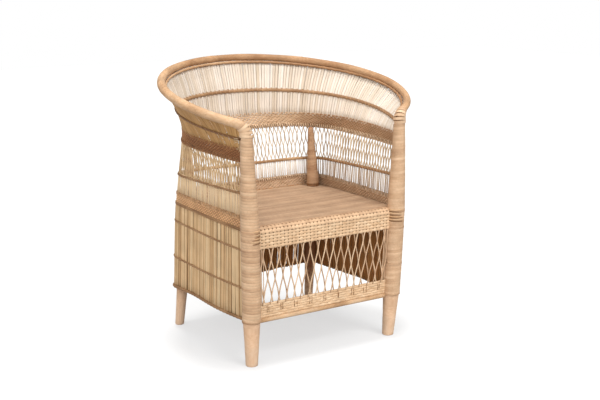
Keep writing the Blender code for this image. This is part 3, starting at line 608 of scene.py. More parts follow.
def make_wraps():
    """Flat peel wound up the posts: a front post from the skirt to the rim, a rear post above the seat.
    Two turns of thin strip end each rod at a front post, and a dark ring round each rear post at the seat
    paints the shadow where the post meets it."""
    plans = (
        ("front", FRONT_WRAP_LOW, FRONT_TOP_Z, FRONT_WRAP_TURNS, (0.28, 0.75)),
        ("rear", REAR_WRAP_LOW, REAR_AXIS[-1, 2], REAR_WRAP_TURNS, (0.0, 0.35)),
    )
    for end, low, high, turns, shades in plans:
        pitch = (high - low) / (turns + 1)
        tones = (turns * 2, *shades)
        for side in ("right", "left"):
            strip = post_strip(end, low + pitch / 2, WRAP_THICKNESS, pitch, turns, tones)
            strip = strip if side == "right" else mirrored(strip)
            node = f"{end}_{side}_wrap"
            add_piece(f"{end}_{side}_peel", [strip], PEEL, "cane_peel", node, sharp=PEEL_SHARP)

    rings = [
        post_strip("front", low, 0.0024, 0.0034, 2.3, (6, 0.0, 0.5), spokes=(Y_AXIS, -X_AXIS))
        for low in (0.131, LOWER_BINDER_H, UPPER_BINDER_H, SEAT_Z - 0.012)
    ]
    add_piece("rod_ends", rings + [mirrored(ring) for ring in rings], PEEL, "cane_peel")
    # Painted shadow: a dark ring round each rear post where it meets the seat.
    foot_shadow_ring = post_strip("rear", SEAT_Z, 0.0012, 0.0030, 2.0, (6, 0.0, 0.8), 0.0016, 0.001)
    add_piece("rear_foot_shadows", [foot_shadow_ring, mirrored(foot_shadow_ring)], DARK_REED_AND_SHADOW, "cane_peel")


RIM_NECK = 0.0035
BEND_STATIONS = 15


def rim_path(stations=220):
    """Rim's middle line: the top hoop, and at each end a quadratic curve down onto the front post."""
    span = 1 - RIM_BEND / HALF_LENGTHS[-1]
    arch = wall(np.linspace(-span, span, stations), RIM_H)
    end = np.array([*front_axis(FRONT_TOP_Z), FRONT_TOP_Z])
    neck = end + (0, 0, RIM_NECK)
    t = np.linspace(0, 1, BEND_STATIONS)[1:, None]
    bend = arch[-1] * (1 - t) ** 2 + wall(1.0, RIM_H) * 2 * t * (1 - t) + neck * t**2
    bend = np.concatenate([bend, [end]])
    return np.concatenate([bend[::-1] * (-1, 1, 1), arch, bend])


RIM_PATH = rim_path()

# Along the rim, as shares of its length: how much slimmer than the solid it is, and its tone. Joints of the
# pole are distances along it.
RIM_SHARES = (0.0, 0.2, 0.375, 0.5, 0.625, 0.8, 0.93, 1.0)
RIM_SLIMMER = (0.0014, 0.0012, 0.0028, 0.0030, 0.0028, 0.0014, 0.0030, 0.0030)
RIM_TONE_SHARES = (0.0, 0.25, 0.45, 0.85, 1.0)
RIM_TONES = (0.55, 0.40, 0.15, 0.20, 0.40)
RIM_JOINTS = np.arange(0.14, 1.7, 0.31)


def make_rim():
    """Rim pole: circles along the rim's line, moved out and up where they are slimmer than the solid.
    A bell curve swells it at each joint."""
    run = length_of(RIM_PATH)
    share = run / run[-1]
    swell = 0.0005 * np.exp(-(((run[:, None] - RIM_JOINTS) / 0.006) ** 2)).sum(axis=1)
    slim = np.interp(share, RIM_SHARES, RIM_SLIMMER)
    radius = RIM_RADIUS - slim + swell + 0.0003 * np.sin(run * 37)
    tone = np.interp(share, RIM_TONE_SHARES, RIM_TONES) + streaks(len(run), 40, -0.15, 0.15)
    level_out = unit(RIM_PATH * (1, 1, 0))
    path = RIM_PATH + (level_out * 0.7 + (0, 0, 0.7)) * slim[:, None]
    pole = carried(path[None], level_out[None], radius, radius, tone[None], sides=20)
    add_piece("rim_pole", [pole], RIM_FINISH, "rim_pole", "top_rim")


# Bindings at the rim's ends: their bare radius at distances up from the post.
BINDING_RUN = (0.0, 0.012, 0.046)
BINDING_RADII = (0.0184, 0.0172, RIM_RADIUS - 0.0022)
BINDING_PITCH = 0.0082
BINDING_TURNS = 5.6


def make_rim_bindings():
    """Peel wound up the rim's ends from the front posts: a helix round the rim's line, wide at the post."""
    line = RIM_PATH[::-1][: BEND_STATIONS + 1]
    line_run = length_of(line)
    tangents = unit(np.gradient(line, axis=0))

    def axis(turned):
        place = turned + 0.0008
        centre, along = (
            np.stack([np.interp(place, line_run, table[:, k]) for k in range(3)], axis=1)
            for table in (line, tangents)
        )
        first = unit(np.cross(along, Y_AXIS))
        return centre, first, unit(np.cross(along, first))

    def radius(turned):
        return np.interp(turned, BINDING_RUN, BINDING_RADII)

    binding = wound(axis, radius, BINDING_PITCH, BINDING_TURNS, (14, 0.3, 0.9))
    add_piece("rim_binding_right", [binding], PEEL, "cane_peel", sharp=PEEL_SHARP)
    add_piece("rim_binding_left", [mirrored(binding)], PEEL, "cane_peel", sharp=PEEL_SHARP)


# The thin hoop under the rim: its distance from the wall, and the search for where it clears the rim.
UNDER_RIM_SIDE = -0.0066
UNDER_RIM_REACH = 0.045
UNDER_RIM_TRIALS = 90
UNDER_RIM_STATIONS = 161


def under_rim(distance):
    """Heights, at many s, where a point beside the wall first clears the rim's line on the way down."""
    s = np.linspace(-1, 1, UNDER_RIM_STATIONS) * (1 - 2 * RIM_BEND / HALF_LENGTHS[-1])
    drop = np.linspace(0, UNDER_RIM_REACH, UNDER_RIM_TRIALS)[:, None]
    h = RIM_H - drop * np.ones_like(s)
    points, _ = on_wall(np.broadcast_to(s, h.shape), h, np.full(h.shape, UNDER_RIM_SIDE))
    line = RIM_PATH[::2]
    apart = np.stack([np.linalg.norm(points - point, axis=-1) for point in line]).min(axis=0)
    first = np.argmax(apart >= distance, axis=0)
    return s, np.take_along_axis(h, first[None], axis=0)[0]


def make_under_rim():
    """The hoop under the rim: circles round the inside of the wall, painted darker from the back to the
    right: painted shade under the rim.
    """
    s, h = under_rim(RIM_RADIUS - 0.0024 + ROD_RADIUS)
    path, out = on_wall(s, h, np.full(len(s), UNDER_RIM_SIDE))
    # Painted shade: the tone falls to dark from the back to the right arm, under the rim.
    shades = streaks(len(s), 24, 0.3, 0.7) * np.interp(s, (-0.15, 0.25), (1.0, 0.0))
    hoop = carried(path[None], out[None], ROD_RADIUS, ROD_RADIUS, shades[None], sides=10)
    add_piece("under_rim_hoop", [hoop], RIM_FINISH, "split_reed", "under_rim_rod")


def uprights(count, low, high, stations, half_width, half_depth, tone, wander, offset=0.0004):
    """Upright canes round the wall: from a low height to a high one in even steps, each with its own small
    lean, bow, lift and thickness."""
    t = np.linspace(0, 1, stations)
    low = np.broadcast_to(low, count)[:, None]
    high = np.broadcast_to(high, count)[:, None]
    h = low + (high - low) * t
    step = spacing(h, count)
    lean = rng.normal(0, wander, (count, 2))
    bow = rng.normal(0, wander / 2, count)[:, None]
    drift = lean[:, :1] * (1 - t) + lean[:, 1:] * t + bow * 4 * t * (1 - t)
    place = np.arange(count)[:, None] + drift / step
    lift = rng.normal(0, offset, count)[:, None] + rng.normal(0, offset, count)[:, None] * (2 * t - 1)
    path, out = on_wall(stake_s(np.clip(place, -0.2, count - 0.8), h, count), h, lift)
    thick = rng.uniform(0.88, 1.10, count)[:, None]
    return carried(path, out, half_width * thick, half_depth * thick, tone)


def make_flare():
    """Staves of the flare: flat canes, side by side, from inside the woven band up into the rim."""
    low = BAND_TOP_H - 0.008
    high = RIM_H - 0.004
    stations = 7
    half_width = 0.55 * spacing(np.linspace(low, high, stations))
    tone = rng.beta(2.4, 1.8, STAKES)
    staves = uprights(STAKES, low, high, stations, half_width, 0.0011, tone, 0.0005, 0.0003)
    add_piece("flare_staves", [staves], CREAM, "straw_canes", "flare_canes")


def hoop_rod(h, distance, half_height, half_depth, low=0.2, high=0.8, lift=None):
    """A flat rod round the wall at a height and distance, with a tone that changes along it. An inner rod
    is painted darker towards the right arm: painted shade on the arm's inner side."""
    stations = 200
    s = np.linspace(-1, 1, stations) * post_clear(h)
    level = np.full(stations, h) if lift is None else h + lift(s)
    path, out = on_wall(s, level, np.full(stations, distance))
    tone = streaks(stations, 40, low, high)
    # Painted shade on inner rods towards the right arm.
    if distance < 0:
        tone = tone * np.interp(s, (0.25, 0.50), (1.0, 0.1))
    return carried(path[None], out[None], half_height, half_depth, tone[None], 8)


def lashing(h, inner, outer, half_height, half_width=0.0012, turns=STAKES // 2, lift=None):
    """A thin strip that ties rods to the wall: a flat helix round a box of the rods' depth and height."""
    per_turn = 8
    angle = np.arange(turns * per_turn + 1) * 2 * math.pi / per_turn
    s = np.linspace(-0.995, 0.995, len(angle)) * post_clear(h)
    deep, tall = rounded(angle, 0.6)
    level = h + half_height * tall + (0 if lift is None else lift(s))
    path, out = on_wall(s, level, (inner + outer) / 2 + (outer - inner) / 2 * deep)
    tone = rng.uniform(0.2, 0.9, (1, len(angle)))
    return carried(path[None], out[None], half_width, 0.0005, tone, sides=4)


def make_rods():
    """Flat rods round the wall, a pair under the seat band, the hem, and strips that lash them."""
    # Each rod's height, the distance of its inner face from the wall, half its height and half its depth.
    plans = (
        ("flare_hoop_inner", FLARE_H, -0.0012, 0.0047, 0.0022, "flare_rod_inner"),
        ("flare_hoop_outer", FLARE_H, 0.0012, 0.0046, 0.0014, "flare_rod_outer"),
        ("mid_hoop_inner", MID_H, -0.0024, 0.0044, 0.0022, "mid_rod_inner"),
        ("mid_hoop_outer", MID_H, 0.0022, 0.0030, 0.0014, "mid_rod_outer"),
        ("upper_binder", UPPER_BINDER_H, 0.0022, 0.0030, 0.0014, "upper_binder_outer"),
        ("upper_binder_inside", UPPER_BINDER_H, -0.0028, ROD_RADIUS, 0.0022, "upper_binder_inner"),
        ("lower_binder", LOWER_BINDER_H, 0.0022, 0.0030, 0.0014, "lower_binder_outer"),
    )
    for name, h, face, half_height, half_depth, node in plans:
        distance = face + math.copysign(half_depth, face)
        shades = (0.0, 0.5) if h == FLARE_H else (0.2, 0.8)
        rod = hoop_rod(h, distance, half_height, half_depth, *shades)
        finish = DARK_REED_AND_SHADOW if name == "flare_hoop_outer" else REED
        add_piece(name, [rod], finish, "split_reed", node)
    under = SEAT_H - SEAT_BAND_HEIGHT / 2 - 0.0042
    pair = [hoop_rod(under + step, 0.0034, 0.0022, 0.0016) for step in (-0.0024, 0.0024)]
    add_piece("seat_band_edge", pair, REED, "split_reed", "seat_band_rod")
    hem = BOTTOM_H + BOTTOM_ROD_RADIUS
    bottom = hoop_rod(hem, 0.0036, BOTTOM_ROD_RADIUS, 0.0020, lift=hem_lift)
    add_piece("skirt_hem", [bottom], REED, "split_reed", "bottom_hoop")
    ties = [
        lashing(FLARE_H, -0.0058, 0.0044, 0.0049),
        lashing(MID_H, -0.0072, 0.0054, 0.0040),
        lashing(UPPER_BINDER_H, -0.0074, 0.0054, 0.0034),
        lashing(LOWER_BINDER_H, -0.0032, 0.0054, 0.0034),
        lashing(hem, -0.0032, 0.0060, BOTTOM_ROD_RADIUS + 0.0003, lift=hem_lift),
    ]
    add_piece("lashings", ties, REED, "split_reed")


def band_rows(low, high, rows, fleck_light, at_arms):
    """Weavers round the wall: each row swings in and out by a sine, a little over half a wave after the row
    below. Its tone is painted lighter where it swings out and darker where it swings in, so that painted
    flecks of light stand in slanting chequers. The rows are painted darker towards the arms, more on the
    right: painted shade."""
    stations = STRANDS * PER_COLUMN + 1
    t = np.linspace(0, 1, stations)
    h = low + (high - low) * (np.arange(rows) + 0.5) / rows
    s = (2 * t - 1) * post_clear(h[:, None])
    swing = np.sin(2 * math.pi * STRANDS * t + 1.12 * math.pi * np.arange(rows)[:, None])
    path, out = on_wall(s, np.broadcast_to(h[:, None], s.shape), 0.0013 * swing)
    # Painted light and shade: each weaver's tone follows its swing.
    tone = np.stack([streaks(stations, 60, 0.35, 0.65) for _ in range(rows)]) + fleck_light * swing
    # Painted shade towards the arms, strongest on the right.
    tone = tone - at_arms * np.interp(s, (-0.60, -0.40, 0.25, 0.45), (1.0, 0.0, 0.0, 1.6))
    return carried(path, out, 0.64 * (high - low) / rows, 0.0017, np.clip(tone, 0, 1))


def edge_loops(h):
    """Loops of cane over a woven band's edge: a lashing as deep as the band, with a turn to each stake."""
    return lashing(h, -0.0042, 0.0042, 0.0058, 0.0024, STAKES)


def make_bands():
    """The woven band under the flare, with loops round its lower edge, and the one round the seat, with
    loops round its upper edge."""
    upper = band_rows(BAND_LOW_H + 0.002, BAND_TOP_H, 10, 0.16, 0.30)
    loops = edge_loops(BAND_LOW_H + 0.0050)
    add_piece("upper_band_weave", [upper, loops], WEAVE, "woven_cane", "upper_woven_band")
    half = SEAT_BAND_HEIGHT / 2
    lower = band_rows(SEAT_H - half - 0.009, SEAT_H + half - 0.002, 9, 0.32, 0.20)
    loops = edge_loops(SEAT_H + half - 0.0060)
    add_piece("seat_band_weave", [lower, loops], SEAT_WEAVE, "woven_cane", "seat_woven_band")


def make_lattice():
    """Diamond lattice: strands of two leans that travel STRAND_TRAVEL places on the way up. A sine slows
    them near each crossing, so that the gaps become pointed ovals. They are wider on the arms. Below, every
    strand is a straight stave, slimmer on the right and painted darker there: painted shade on the right
    arm's inner side."""
    t = np.linspace(0, 1, 25)
    rise = STRAND_TRAVEL * t
    travel = 0.25 + rise - 0.75 / (4 * math.pi) * np.sin(4 * math.pi * rise)
    h = MID_H - 0.002 + (BAND_LOW_H + 0.006 - MID_H) * t
    sweeps = []
    for lean, first in ((1, 0.0), (-1, 0.5)):
        k = np.arange(-3, STRANDS + 3) + first
        place = k[:, None] + lean * travel + rng.normal(0, 0.05, (len(k), 1))
        inside = np.clip(place, -0.4, STRANDS - 0.6)
        kept = (np.abs(inside - place) < 0.01).mean(axis=1) > 0.25
        s = stake_s(inside[kept], h, STRANDS)
        path, out = on_wall(s, np.broadcast_to(h, s.shape), np.full(s.shape, 0.0011 * lean))
        at_arms = np.clip((np.abs(s) - 0.40) / 0.15, 0, 1)
        tone = rng.beta(2.2, 1.8, kept.sum())
        sweeps.append(carried(path, out, 0.0014 + 0.0010 * at_arms, 0.0014, tone, sides=5))
    nodes = ("lattice_left", "lattice_back", "lattice_right")
    add_piece("lattice_strands", sweeps, STRAND_FINISH, "straw_canes", *nodes)
    count = 2 * STRANDS
    on_right = np.clip((stake_s(np.arange(count), MID_H, count) - 0.30) / 0.12, 0, 1)
    shades = 0.4 + 0.6 * rng.beta(2.2, 1.8, count)
    # Painted shade: darker tones for the staves on the right.
    shades = shades + (rng.uniform(-0.1, 0.4, count) - shades) * on_right
    widths = 0.0026 - 0.0006 * on_right[:, None]
    staves = uprights(count, SEAT_H + 0.010, MID_H + 0.004, 3, widths, 0.0014, shades, 0.0008)
    add_piece("lattice_staves", [staves], STAVE_FINISH, "straw_canes", *nodes)


def make_skirt():
    """Close-set canes of the skirt, from the waving hem up to the seat band. Above the hem some thin out by
    a ramp, more at the back and right than on the left, and let light through."""
    stations = 9
    places = np.arange(SKIRT_CANES)
    lifted = hem_lift(stake_s(places, BOTTOM_H, SKIRT_CANES))
    low = BOTTOM_H + lifted + rng.uniform(-0.001, 0.003, SKIRT_CANES)
    tone = rng.beta(2.6, 2.3, SKIRT_CANES)
    thinned = np.interp(stake_s(places, SEAT_H, SKIRT_CANES), (-0.45, -0.30), (0.15, 1.0))
    thinned = (thinned * rng.uniform(0.1, 1.0, SKIRT_CANES) ** 3)[:, None]
    thinned = thinned * np.interp(np.linspace(0, 1, stations), (0.30, 0.60), (0.0, 1.0))
    widths = 0.0035 - 0.0024 * thinned
    depths = 0.0028 - 0.0012 * thinned
    high = SEAT_H - SEAT_BAND_HEIGHT / 2 - 0.003
    canes = uprights(SKIRT_CANES, low, high, stations, widths, depths, tone, 0.0008)
    nodes = ("skirt_canes_left", "skirt_canes_back", "skirt_canes_right")
    add_piece("skirt_canes", [canes], STRAW, "straw_canes", *nodes)


# Front panel: rows, columns and notches of its two woven bands, pairs of ties over the lower one, columns
# of its lattice and how many of them a strand travels.
APRON_ROWS = 5
APRON_COLUMNS = 37
BAND_ROWS = 6
BAND_COLUMNS = 30
BAND_TIES = 9
FRONT_COLUMNS = 17
FRONT_TRAVEL = 1.5
APRON_NOTCH = 0.62
BAND_NOTCH = 0.22
STAKE_WIDTH = 0.0032
STAKE_DEPTH = 0.0008
FORWARD = (0.0, -1.0, 0.0)


def front_gap(z):
    """Half the clear width between the front posts at a height, and the y of their axes."""
    x, y = front_axis(z)
    return x - eased(z, POST_RADII["front"]) - WRAP_THICKNESS - 0.001, y


def notched(pitch, columns, t, notch):
    """Half the height of a weaver: a share of the pitch of rows, cut by a sharp power of a cosine where an
    upright stake holds it."""
    return 0.60 * pitch * (1 - notch * np.cos(math.pi * columns * t) ** 12)


def front_rows(low, high, rows, columns, notch, forward, tone_low, tone_high):
    """Weavers across the front: rows between the posts that swing in and out by a sine from column to
    column, and are notched at the stakes."""
    stations = columns * PER_COLUMN + 1
    t = np.linspace(0, 1, stations)
    pitch = (high - low) / rows
    z = (low + pitch * (np.arange(rows) + 0.5))[:, None]
    half, y = front_gap(z)
    swung = np.sin(math.pi * columns * t + math.pi * np.arange(rows)[:, None])
    path = placed((2 * t - 1) * (half + 0.003), y - forward - 0.0005 * swung, z)
    # Painted light and shade: each weaver is a little lighter where it swings forward and darker where it
    # swings back.
    tone = np.stack([streaks(stations, 30, tone_low, tone_high) for _ in range(rows)]) + 0.06 * swung
    half_height = notched(pitch, columns, t, notch)
    return carried(path, FORWARD, half_height, 0.0016, np.clip(tone, 0, 1), 8, 0.6)


def front_uprights(share, z, behind, half_width, half_depth, tone):
    """Upright strips of the front panel, at shares of its half width and so far behind the posts' axes."""
    half, y = front_gap(z)
    path = placed(share[:, None] * half, y + behind, z)
    return carried(path, FORWARD, half_width, half_depth, tone)


def stake_shares(columns):
    """Where the stakes of a weave stand, from -1 to 1: one at each of its notches."""
    return 2 * np.arange(1, columns) / columns - 1


def front_stakes(low, high, columns, behind):
    """Flat upright stakes behind the front weave."""
    tone = rng.uniform(0.1, 0.6, columns - 1)
    z = np.linspace(low, high, 3)
    return front_uprights(stake_shares(columns), z, behind, STAKE_WIDTH, STAKE_DEPTH, tone)


def make_front_weave():
    """Apron and lower band of plain weave over stakes whose dark finish is painted shade seen through the
    notches, with pairs of dark ties on the lower band.
    """
    top = SEAT_Z - SEAT_SUNK - SEAT_EDGE
    apron = front_rows(APRON_LOW - 0.001, top, APRON_ROWS, APRON_COLUMNS, APRON_NOTCH, 0.0029, 0.35, 0.75)
    add_piece("apron_weave", [apron], FRONT_WEAVE, "woven_cane", "front_apron")
    band = front_rows(LOW_BAND_LOW, LOW_BAND_TOP, BAND_ROWS, BAND_COLUMNS, BAND_NOTCH, 0.0, 0.3, 0.8)
    add_piece("lower_band_weave", [band], FRONT_WEAVE, "woven_cane", "front_lower_band")
    # Painted shade: the stakes' dark finish shows in the notches.
    stakes = [
        front_stakes(APRON_LOW + 0.001, top, APRON_COLUMNS, 0.0),
        front_stakes(LOW_BAND_LOW + 0.001, LOW_BAND_TOP - 0.001, BAND_COLUMNS, 0.0030),
    ]
    count = 2 * BAND_TIES
    share = (np.arange(BAND_TIES) * 2 + 1) / BAND_TIES - 1
    share = np.concatenate([share - 0.018, share + 0.018]) + rng.normal(0, 0.008, count)
    z = np.linspace(LOW_BAND_LOW + 0.015, LOW_BAND_TOP - 0.008, 3)
    stakes.append(front_uprights(share, z, -0.0014, 0.0011, 0.0010, rng.uniform(0.3, 1.0, count)))
    add_piece("front_stakes", stakes, DARK_REED_AND_SHADOW, "woven_cane")


def make_front_lattice():
    """Tall lattice of the front: strands of two leans that travel FRONT_TRAVEL columns on the way up, less
    a small sine, and three upright strands beside each post."""
    t = np.linspace(0, 1, 13)
    z = LOW_BAND_TOP - 0.006 + (APRON_LOW - LOW_BAND_TOP + 0.012) * t
    half, y = front_gap(z)
    travel = FRONT_TRAVEL * (t - 0.5) - 0.03 * np.sin(6 * math.pi * (t - 0.5))
    sweeps = []
    for lean in (1, -1):
        k = np.arange(-2, FRONT_COLUMNS + 3)
        place = k[:, None] + lean * travel + rng.normal(0, 0.05, (len(k), 1))
        clipped = np.clip(place, 0.10, FRONT_COLUMNS - 0.10)
        kept = (np.abs(clipped - place) < 0.01).mean(axis=1) > 0.3
        path = placed((2 * clipped[kept] / FRONT_COLUMNS - 1) * half, y - 0.0017 * lean, z)
        sweeps.append(carried(path, FORWARD, 0.0021, 0.0014, rng.uniform(0.3, 1.0, kept.sum())))
    share = np.array([-0.985, -0.965, -0.935, 0.945, 0.965, 0.985])
    sweeps.append(front_uprights(share, z, 0.0005, 0.0014, 0.0012, rng.uniform(0.2, 0.9, len(share))))
    add_piece("front_strands", sweeps, PEEL, "cane_peel", "front_lattice")


def make_front_rail():
    """The round rail under the front panel, from post to post."""
    stations = 40
    half, y = front_gap(FRONT_RAIL_Z)
    path = placed(np.linspace(-half - 0.002, half + 0.002, stations), y, FRONT_RAIL_Z)
    shades = streaks(stations, 8)[None]
    rail = carried(path[None], FORWARD, FRONT_RAIL_RADIUS, FRONT_RAIL_RADIUS, shades, sides=14)
    add_piece("front_rail", [rail], RIM_FINISH, "rim_pole", "front_lower_rail")


# Seat: pitch of its rows and warps, how deep the rows lie, the radius of its front edge, the rows round
# that edge and how far they reach back, and its sag.
SEAT_ROW = 0.0044
SEAT_WARP = 0.0090
SEAT_SUNK = 0.0014
SEAT_EDGE = 0.0180
EDGE_ROWS = 3
EDGE_REACH = 0.004
SEAT_SAG = 0.0035
SEAT_SAMPLES = 400


def seat_side():
    """Inside of the wall's right half at the seat, from the middle of the back to the front post."""
    s = np.linspace(0, 1, SEAT_SAMPLES)
    h = np.full(SEAT_SAMPLES, SEAT_H - SEAT_BAND_HEIGHT / 4)
    return on_wall(s, h, np.full(SEAT_SAMPLES, -0.0035))[0]


SEAT_SIDE = seat_side()
SEAT_BACK_Y = SEAT_SIDE[0, 1]
SEAT_POST_X, SEAT_POST_Y = front_axis(SEAT_Z)
SEAT_FRONT_Y = SEAT_POST_Y - 0.0031
SEAT_FLAT = SEAT_BACK_Y - SEAT_FRONT_Y - SEAT_EDGE
SEAT_END = SEAT_FLAT + SEAT_EDGE * math.pi / 2


def over_edge(place):
    """The y, height, half width and upward direction of the seat at distances from its back: level as far
    as the front edge, and then a quarter turn down over it."""
    turn = np.clip((place - SEAT_FLAT) / SEAT_EDGE, 0, math.pi / 2)
    y = np.where(place < SEAT_FLAT, SEAT_BACK_Y - place, SEAT_FRONT_Y + SEAT_EDGE * (1 - np.sin(turn)))
    z = SEAT_Z - SEAT_SUNK - SEAT_EDGE * (1 - np.cos(turn))
    order = np.argsort(SEAT_SIDE[:, 1])
    limit = np.interp(y, SEAT_SIDE[order, 1], SEAT_SIDE[order, 0])
    limit = np.where(y < SEAT_POST_Y + 0.026, np.minimum(limit, SEAT_POST_X - 0.0225), limit)
    return y, z, limit, placed(0 * turn, -np.sin(turn), np.cos(turn))


def make_seat_edge():
    """Front edge of the seat: rows of weave round the quarter turn, notched at stakes behind them whose
    dark finish is painted shade in the notches.
    """
    pitch = (SEAT_END - SEAT_FLAT + EDGE_REACH) / EDGE_ROWS
    y, z, limit, up = over_edge(SEAT_END - pitch * (np.arange(EDGE_ROWS) + 0.5))
    t = np.linspace(0, 1, APRON_COLUMNS * PER_COLUMN + 1)
    path = placed(limit[:, None] * (2 * t - 1), y[:, None], z[:, None])
    tone = np.stack([streaks(len(t), 30, -0.15, 0.15) for _ in range(EDGE_ROWS)])
    # Painted shade: the upper rows, facing up, are painted darker than the lower ones.
    tone = tone + np.linspace(0.8, 0.2, EDGE_ROWS)[:, None]
    edge = carried(path, up[:, None], notched(pitch, APRON_COLUMNS, t, APRON_NOTCH), 0.0014, tone, 8, 0.6)
    add_piece("seat_edge_weave", [edge], EDGE_WEAVE, "seat_weave", "seat_panel")
    y, z, limit, up = over_edge(np.linspace(SEAT_FLAT - EDGE_REACH, SEAT_END, 8))
    path = placed(limit * stake_shares(APRON_COLUMNS)[:, None], y, z) - up * 0.0022
    stakes = carried(path, up, STAKE_WIDTH, STAKE_DEPTH, rng.uniform(0.1, 0.6, APRON_COLUMNS - 1))
    add_piece("seat_edge_stakes", [stakes], DARK_REED_AND_SHADOW, "seat_weave", "seat_panel")


def make_seat():
    """Seat: rows of weave from wall to wall. Each row rises and dips by a sine over the warps below, and
    the whole sags by a parabola both ways."""
    place = np.arange(SEAT_ROW / 2, SEAT_FLAT - EDGE_REACH, SEAT_ROW)
    y, z, limit, up = over_edge(place)
    stations = 121
    x = limit[:, None] * np.linspace(-1, 1, stations)
    rows = np.arange(len(place))[:, None]
    swung = np.sin(math.pi * x / SEAT_WARP + math.pi * rows)
    centred = (y[:, None] - (SEAT_BACK_Y + SEAT_FRONT_Y) / 2) / ((SEAT_BACK_Y - SEAT_FRONT_Y) / 2)
    sag = SEAT_SAG * np.clip(1 - (x / limit[:, None]) ** 2, 0, 1) * np.clip(1 - centred**2, 0, 1)
    path = placed(x, y[:, None], z[:, None] - sag) + up[:, None] * (0.0005 * swung)[..., None]
    tone = np.stack([streaks(stations, 10, 0.2, 0.8) for _ in place])
    # Painted light and shade: each row is a little lighter where it rises over a warp and darker where it
    # dips.
    tone = 0.4 * tone + 0.6 * streaks(len(place), 40, 0.15, 0.85)[:, None] + 0.05 * swung
    weave = carried(path, up[:, None], SEAT_ROW * 0.60, 0.0012, np.clip(tone, 0, 1))
    add_piece("seat_weave", [weave], SEAT_FINISH, "seat_weave", "seat_panel")


FRAYS = 16
APRON_ENDS = 8


def make_frays():
    """Loose ends of cane by the tops of the front posts: short strands that stand off the wall."""
    start, reach, drop, away = rng.uniform(0, 1, (4, FRAYS, 1))
    t = np.linspace(0, 1, 4)
    h = BAND_TOP_H + (FLARE_H + 0.014 - BAND_TOP_H) * start - 0.018 * drop * t
    s = post_clear(h) * (0.996 - 0.03 * reach * t)
    path, out = on_wall(s, h, 0.002 + 0.007 * away * t)
    ends = carried(path, out, 0.0009, 0.0005, rng.uniform(0.1, 1.0, FRAYS), sides=4)
    add_piece("frayed_ends", [ends, mirrored(ends)], STRAND_FINISH, "straw_canes")


def make_apron_ends():
    """Ends of the apron's weavers: strips that go on round the front posts in arcs of about a quarter turn,
    wide pale ones and, by turns with them, narrow dark ones that are painted shadow between the pale ones."""
    t = np.linspace(0, 1, 12)
    z = SEAT_Z - 0.006 - 0.0046 * np.arange(APRON_ENDS)[:, None]
    z = z + rng.uniform(-0.002, 0.002, (APRON_ENDS, 1)) * t
    angle = math.pi + (0.05 + rng.uniform(1.5, 2.0, (APRON_ENDS, 1)) * t)
    out = placed(np.cos(angle), np.sin(angle), 0 * angle)
    reach = eased(z, POST_RADII["front"]) + WRAP_THICKNESS + 0.0020 - 0.0022 * t**4
    path = axis_of("front", z) + out * reach[..., None]
    # Painted shadow: the narrow dark strips between the pale ends.
    plans = (("apron_ends", 0, 0.0030, FRONT_WEAVE), ("apron_end_shadows", 1, 0.0014, DARK_REED_AND_SHADOW))
    for name, first, half_width, finish in plans:
        tone = rng.uniform(0.0, 0.6, APRON_ENDS // 2)
        turns = carried(path[first::2], out[first::2], half_width, 0.0009, tone)
        add_piece(name, [turns, mirrored(turns)], finish, "woven_cane")


def straight_rod(start, end, radius):
    """A round pole between two points."""
    t = np.linspace(0, 1, 12)[:, None]
    path = np.asarray(start) * (1 - t) + np.asarray(end) * t
    tone = streaks(len(t), 4, 0.0, 0.4)[None]
    return carried(path[None], (0.0, 0.0, 1.0), radius, radius, tone, sides=14)


def make_seat_frame():
    """Rails and bearers under the seat, where the solids have them."""
    moved = np.array([0.0, MOVE_Y, 0.0])
    rods = [(f"seat_rail_{side}", RAIL_RADIUS, 0) for side in ("front", "back")]
    rods += [(f"seat_bearer_{number}", BEARER_RADIUS, 1) for number in (1, 2, 3)]
    for node, radius, axis in rods:
        low, high = (np.array(corner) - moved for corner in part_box(node))
        ends = np.stack([(low + high) / 2] * 2)
        ends[:, axis] = low[axis], high[axis]
        add_piece(f"{node}_pole", [straight_rod(*ends, radius)], POLE, "peeled_pole", node)
    rail_z = SEAT_Z - 0.0104 - RAIL_RADIUS
    low, high = (np.array(corner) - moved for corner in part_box("seat_rail_right"))
    start = (front_axis(rail_z)[0] - 0.0260, low[1], rail_z)
    end = (axis_of("rear", np.array([rail_z]))[0, 0], high[1], rail_z)
    right = straight_rod(start, end, RAIL_RADIUS)
    add_piece("seat_rail_right_pole", [right], POLE, "peeled_pole", "seat_rail_right")
    add_piece("seat_rail_left_pole", [mirrored(right)], POLE, "peeled_pole", "seat_rail_left")


# The photograph's camera: angles in radians, distance in metres, lens in millimetres.
AZIMUTH = -0.585
ELEVATION = 0.2115
DISTANCE = 3.240
TARGET = (0.0456, -0.0307 + MOVE_Y, 0.4084)
LENS = 64.31


def make_camera():
    """The photograph's camera, fitted to the chair's outlines."""
    data = bpy.data.cameras.new("camera")
    data.sensor_fit = "HORIZONTAL"
    data.sensor_width = 36.0
    data.lens = LENS
    camera = linked("camera", data)
    level = math.cos(ELEVATION)
    back = Vector((math.sin(AZIMUTH) * level, -math.cos(AZIMUTH) * level, math.sin(ELEVATION)))
    camera.location = Vector(TARGET) + back * DISTANCE
    camera.rotation_euler = (-back).to_track_quat("-Z", "Y").to_euler()
    bpy.context.scene.camera = camera


# Far lights: the direction each one shines in, its strength and its spread in degrees.
SUNS = (
    ("key", (-0.10, 0.80, -0.75), 1.6, 32),
    ("fill", (0.75, 0.55, -0.35), 1.4, 60),
    ("top", (0.0, -0.04, -1.0), 1.8, 9),
)
SKY = 0.60
FLOOR_GREY = 0.36
FLOOR_GLOW = 0.56
FLOOR_REACH = 9


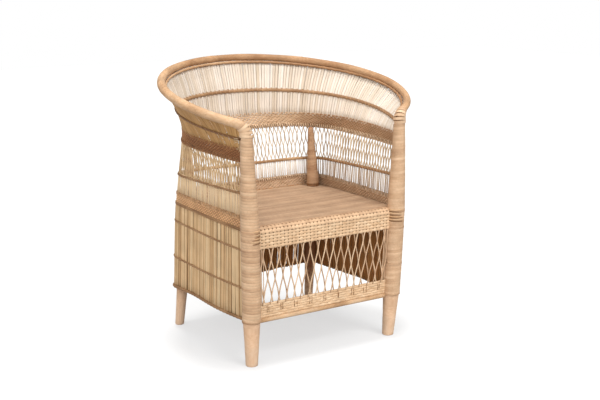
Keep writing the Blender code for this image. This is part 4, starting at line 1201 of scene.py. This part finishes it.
def soft_sun(name, towards, strength, spread):
    """A far light of even strength that shines along a direction, with a spread that softens shadows."""
    data = bpy.data.lights.new(name, "SUN")
    data.energy = strength
    data.angle = math.radians(spread)
    linked(name, data).rotation_euler = Vector(towards).to_track_quat("-Z", "Y").to_euler()


def make_studio():
    """White studio: three soft suns under a sky that is white where it is seen."""
    scene = bpy.context.scene
    scene.view_settings.view_transform = "Standard"
    scene.world = bpy.data.worlds.new("studio")
    scene.world.use_nodes = True
    tree = scene.world.node_tree
    sky = tree.nodes["Background"]
    fill(tree, sky, {"Color": (1, 1, 1, 1), "Strength": SKY})
    white = add_node(tree, "Background", {"Color": (1, 1, 1, 1)})
    seen = add_node(tree, "LightPath", {}).outputs["Is Camera Ray"]
    mix = add_node(tree, "MixShader", {0: seen, 1: sky.outputs[0], 2: white.outputs[0]})
    fill(tree, tree.nodes["World Output"], {"Surface": mix.outputs[0]})
    for sun in SUNS:
        soft_sun(*sun)


def make_floor():
    """A matt grey floor that also glows where it is seen, so that it stays white but for soft shadows."""
    corners = np.array([(-1, -1, 0), (1, -1, 0), (1, 1, 0), (-1, 1, 0)]) * FLOOR_REACH
    mesh = bpy.data.meshes.new("floor")
    mesh.from_pydata(corners.tolist(), [], [(0, 1, 2, 3)])
    floor = linked("floor", mesh)
    paint = bpy.data.materials.new("floor")
    paint.use_nodes = True
    tree = paint.node_tree
    matt = tree.nodes["Principled BSDF"]
    fill(tree, matt, {"Base Color": (*[FLOOR_GREY] * 3, 1), "Roughness": 0.9, "Specular IOR Level": 0.0})
    seen = add_node(tree, "LightPath", {}).outputs["Is Camera Ray"]
    glow = add_node(tree, "Emission", {"Color": (*[FLOOR_GLOW] * 3, 1), "Strength": seen})
    both = add_node(tree, "AddShader", {0: matt.outputs[0], 1: glow.outputs[0]})
    fill(tree, tree.nodes["Material Output"], {"Surface": both.outputs[0]})
    mesh.materials.append(paint)


make_camera()
make_studio()
make_floor()
make_posts()
make_wraps()
make_rim()
make_rim_bindings()
make_under_rim()
make_flare()
make_rods()
make_bands()
make_lattice()
make_skirt()
make_front_weave()
make_front_lattice()
make_front_rail()
make_seat_edge()
make_seat()
make_frays()
make_apron_ends()
make_seat_frame()
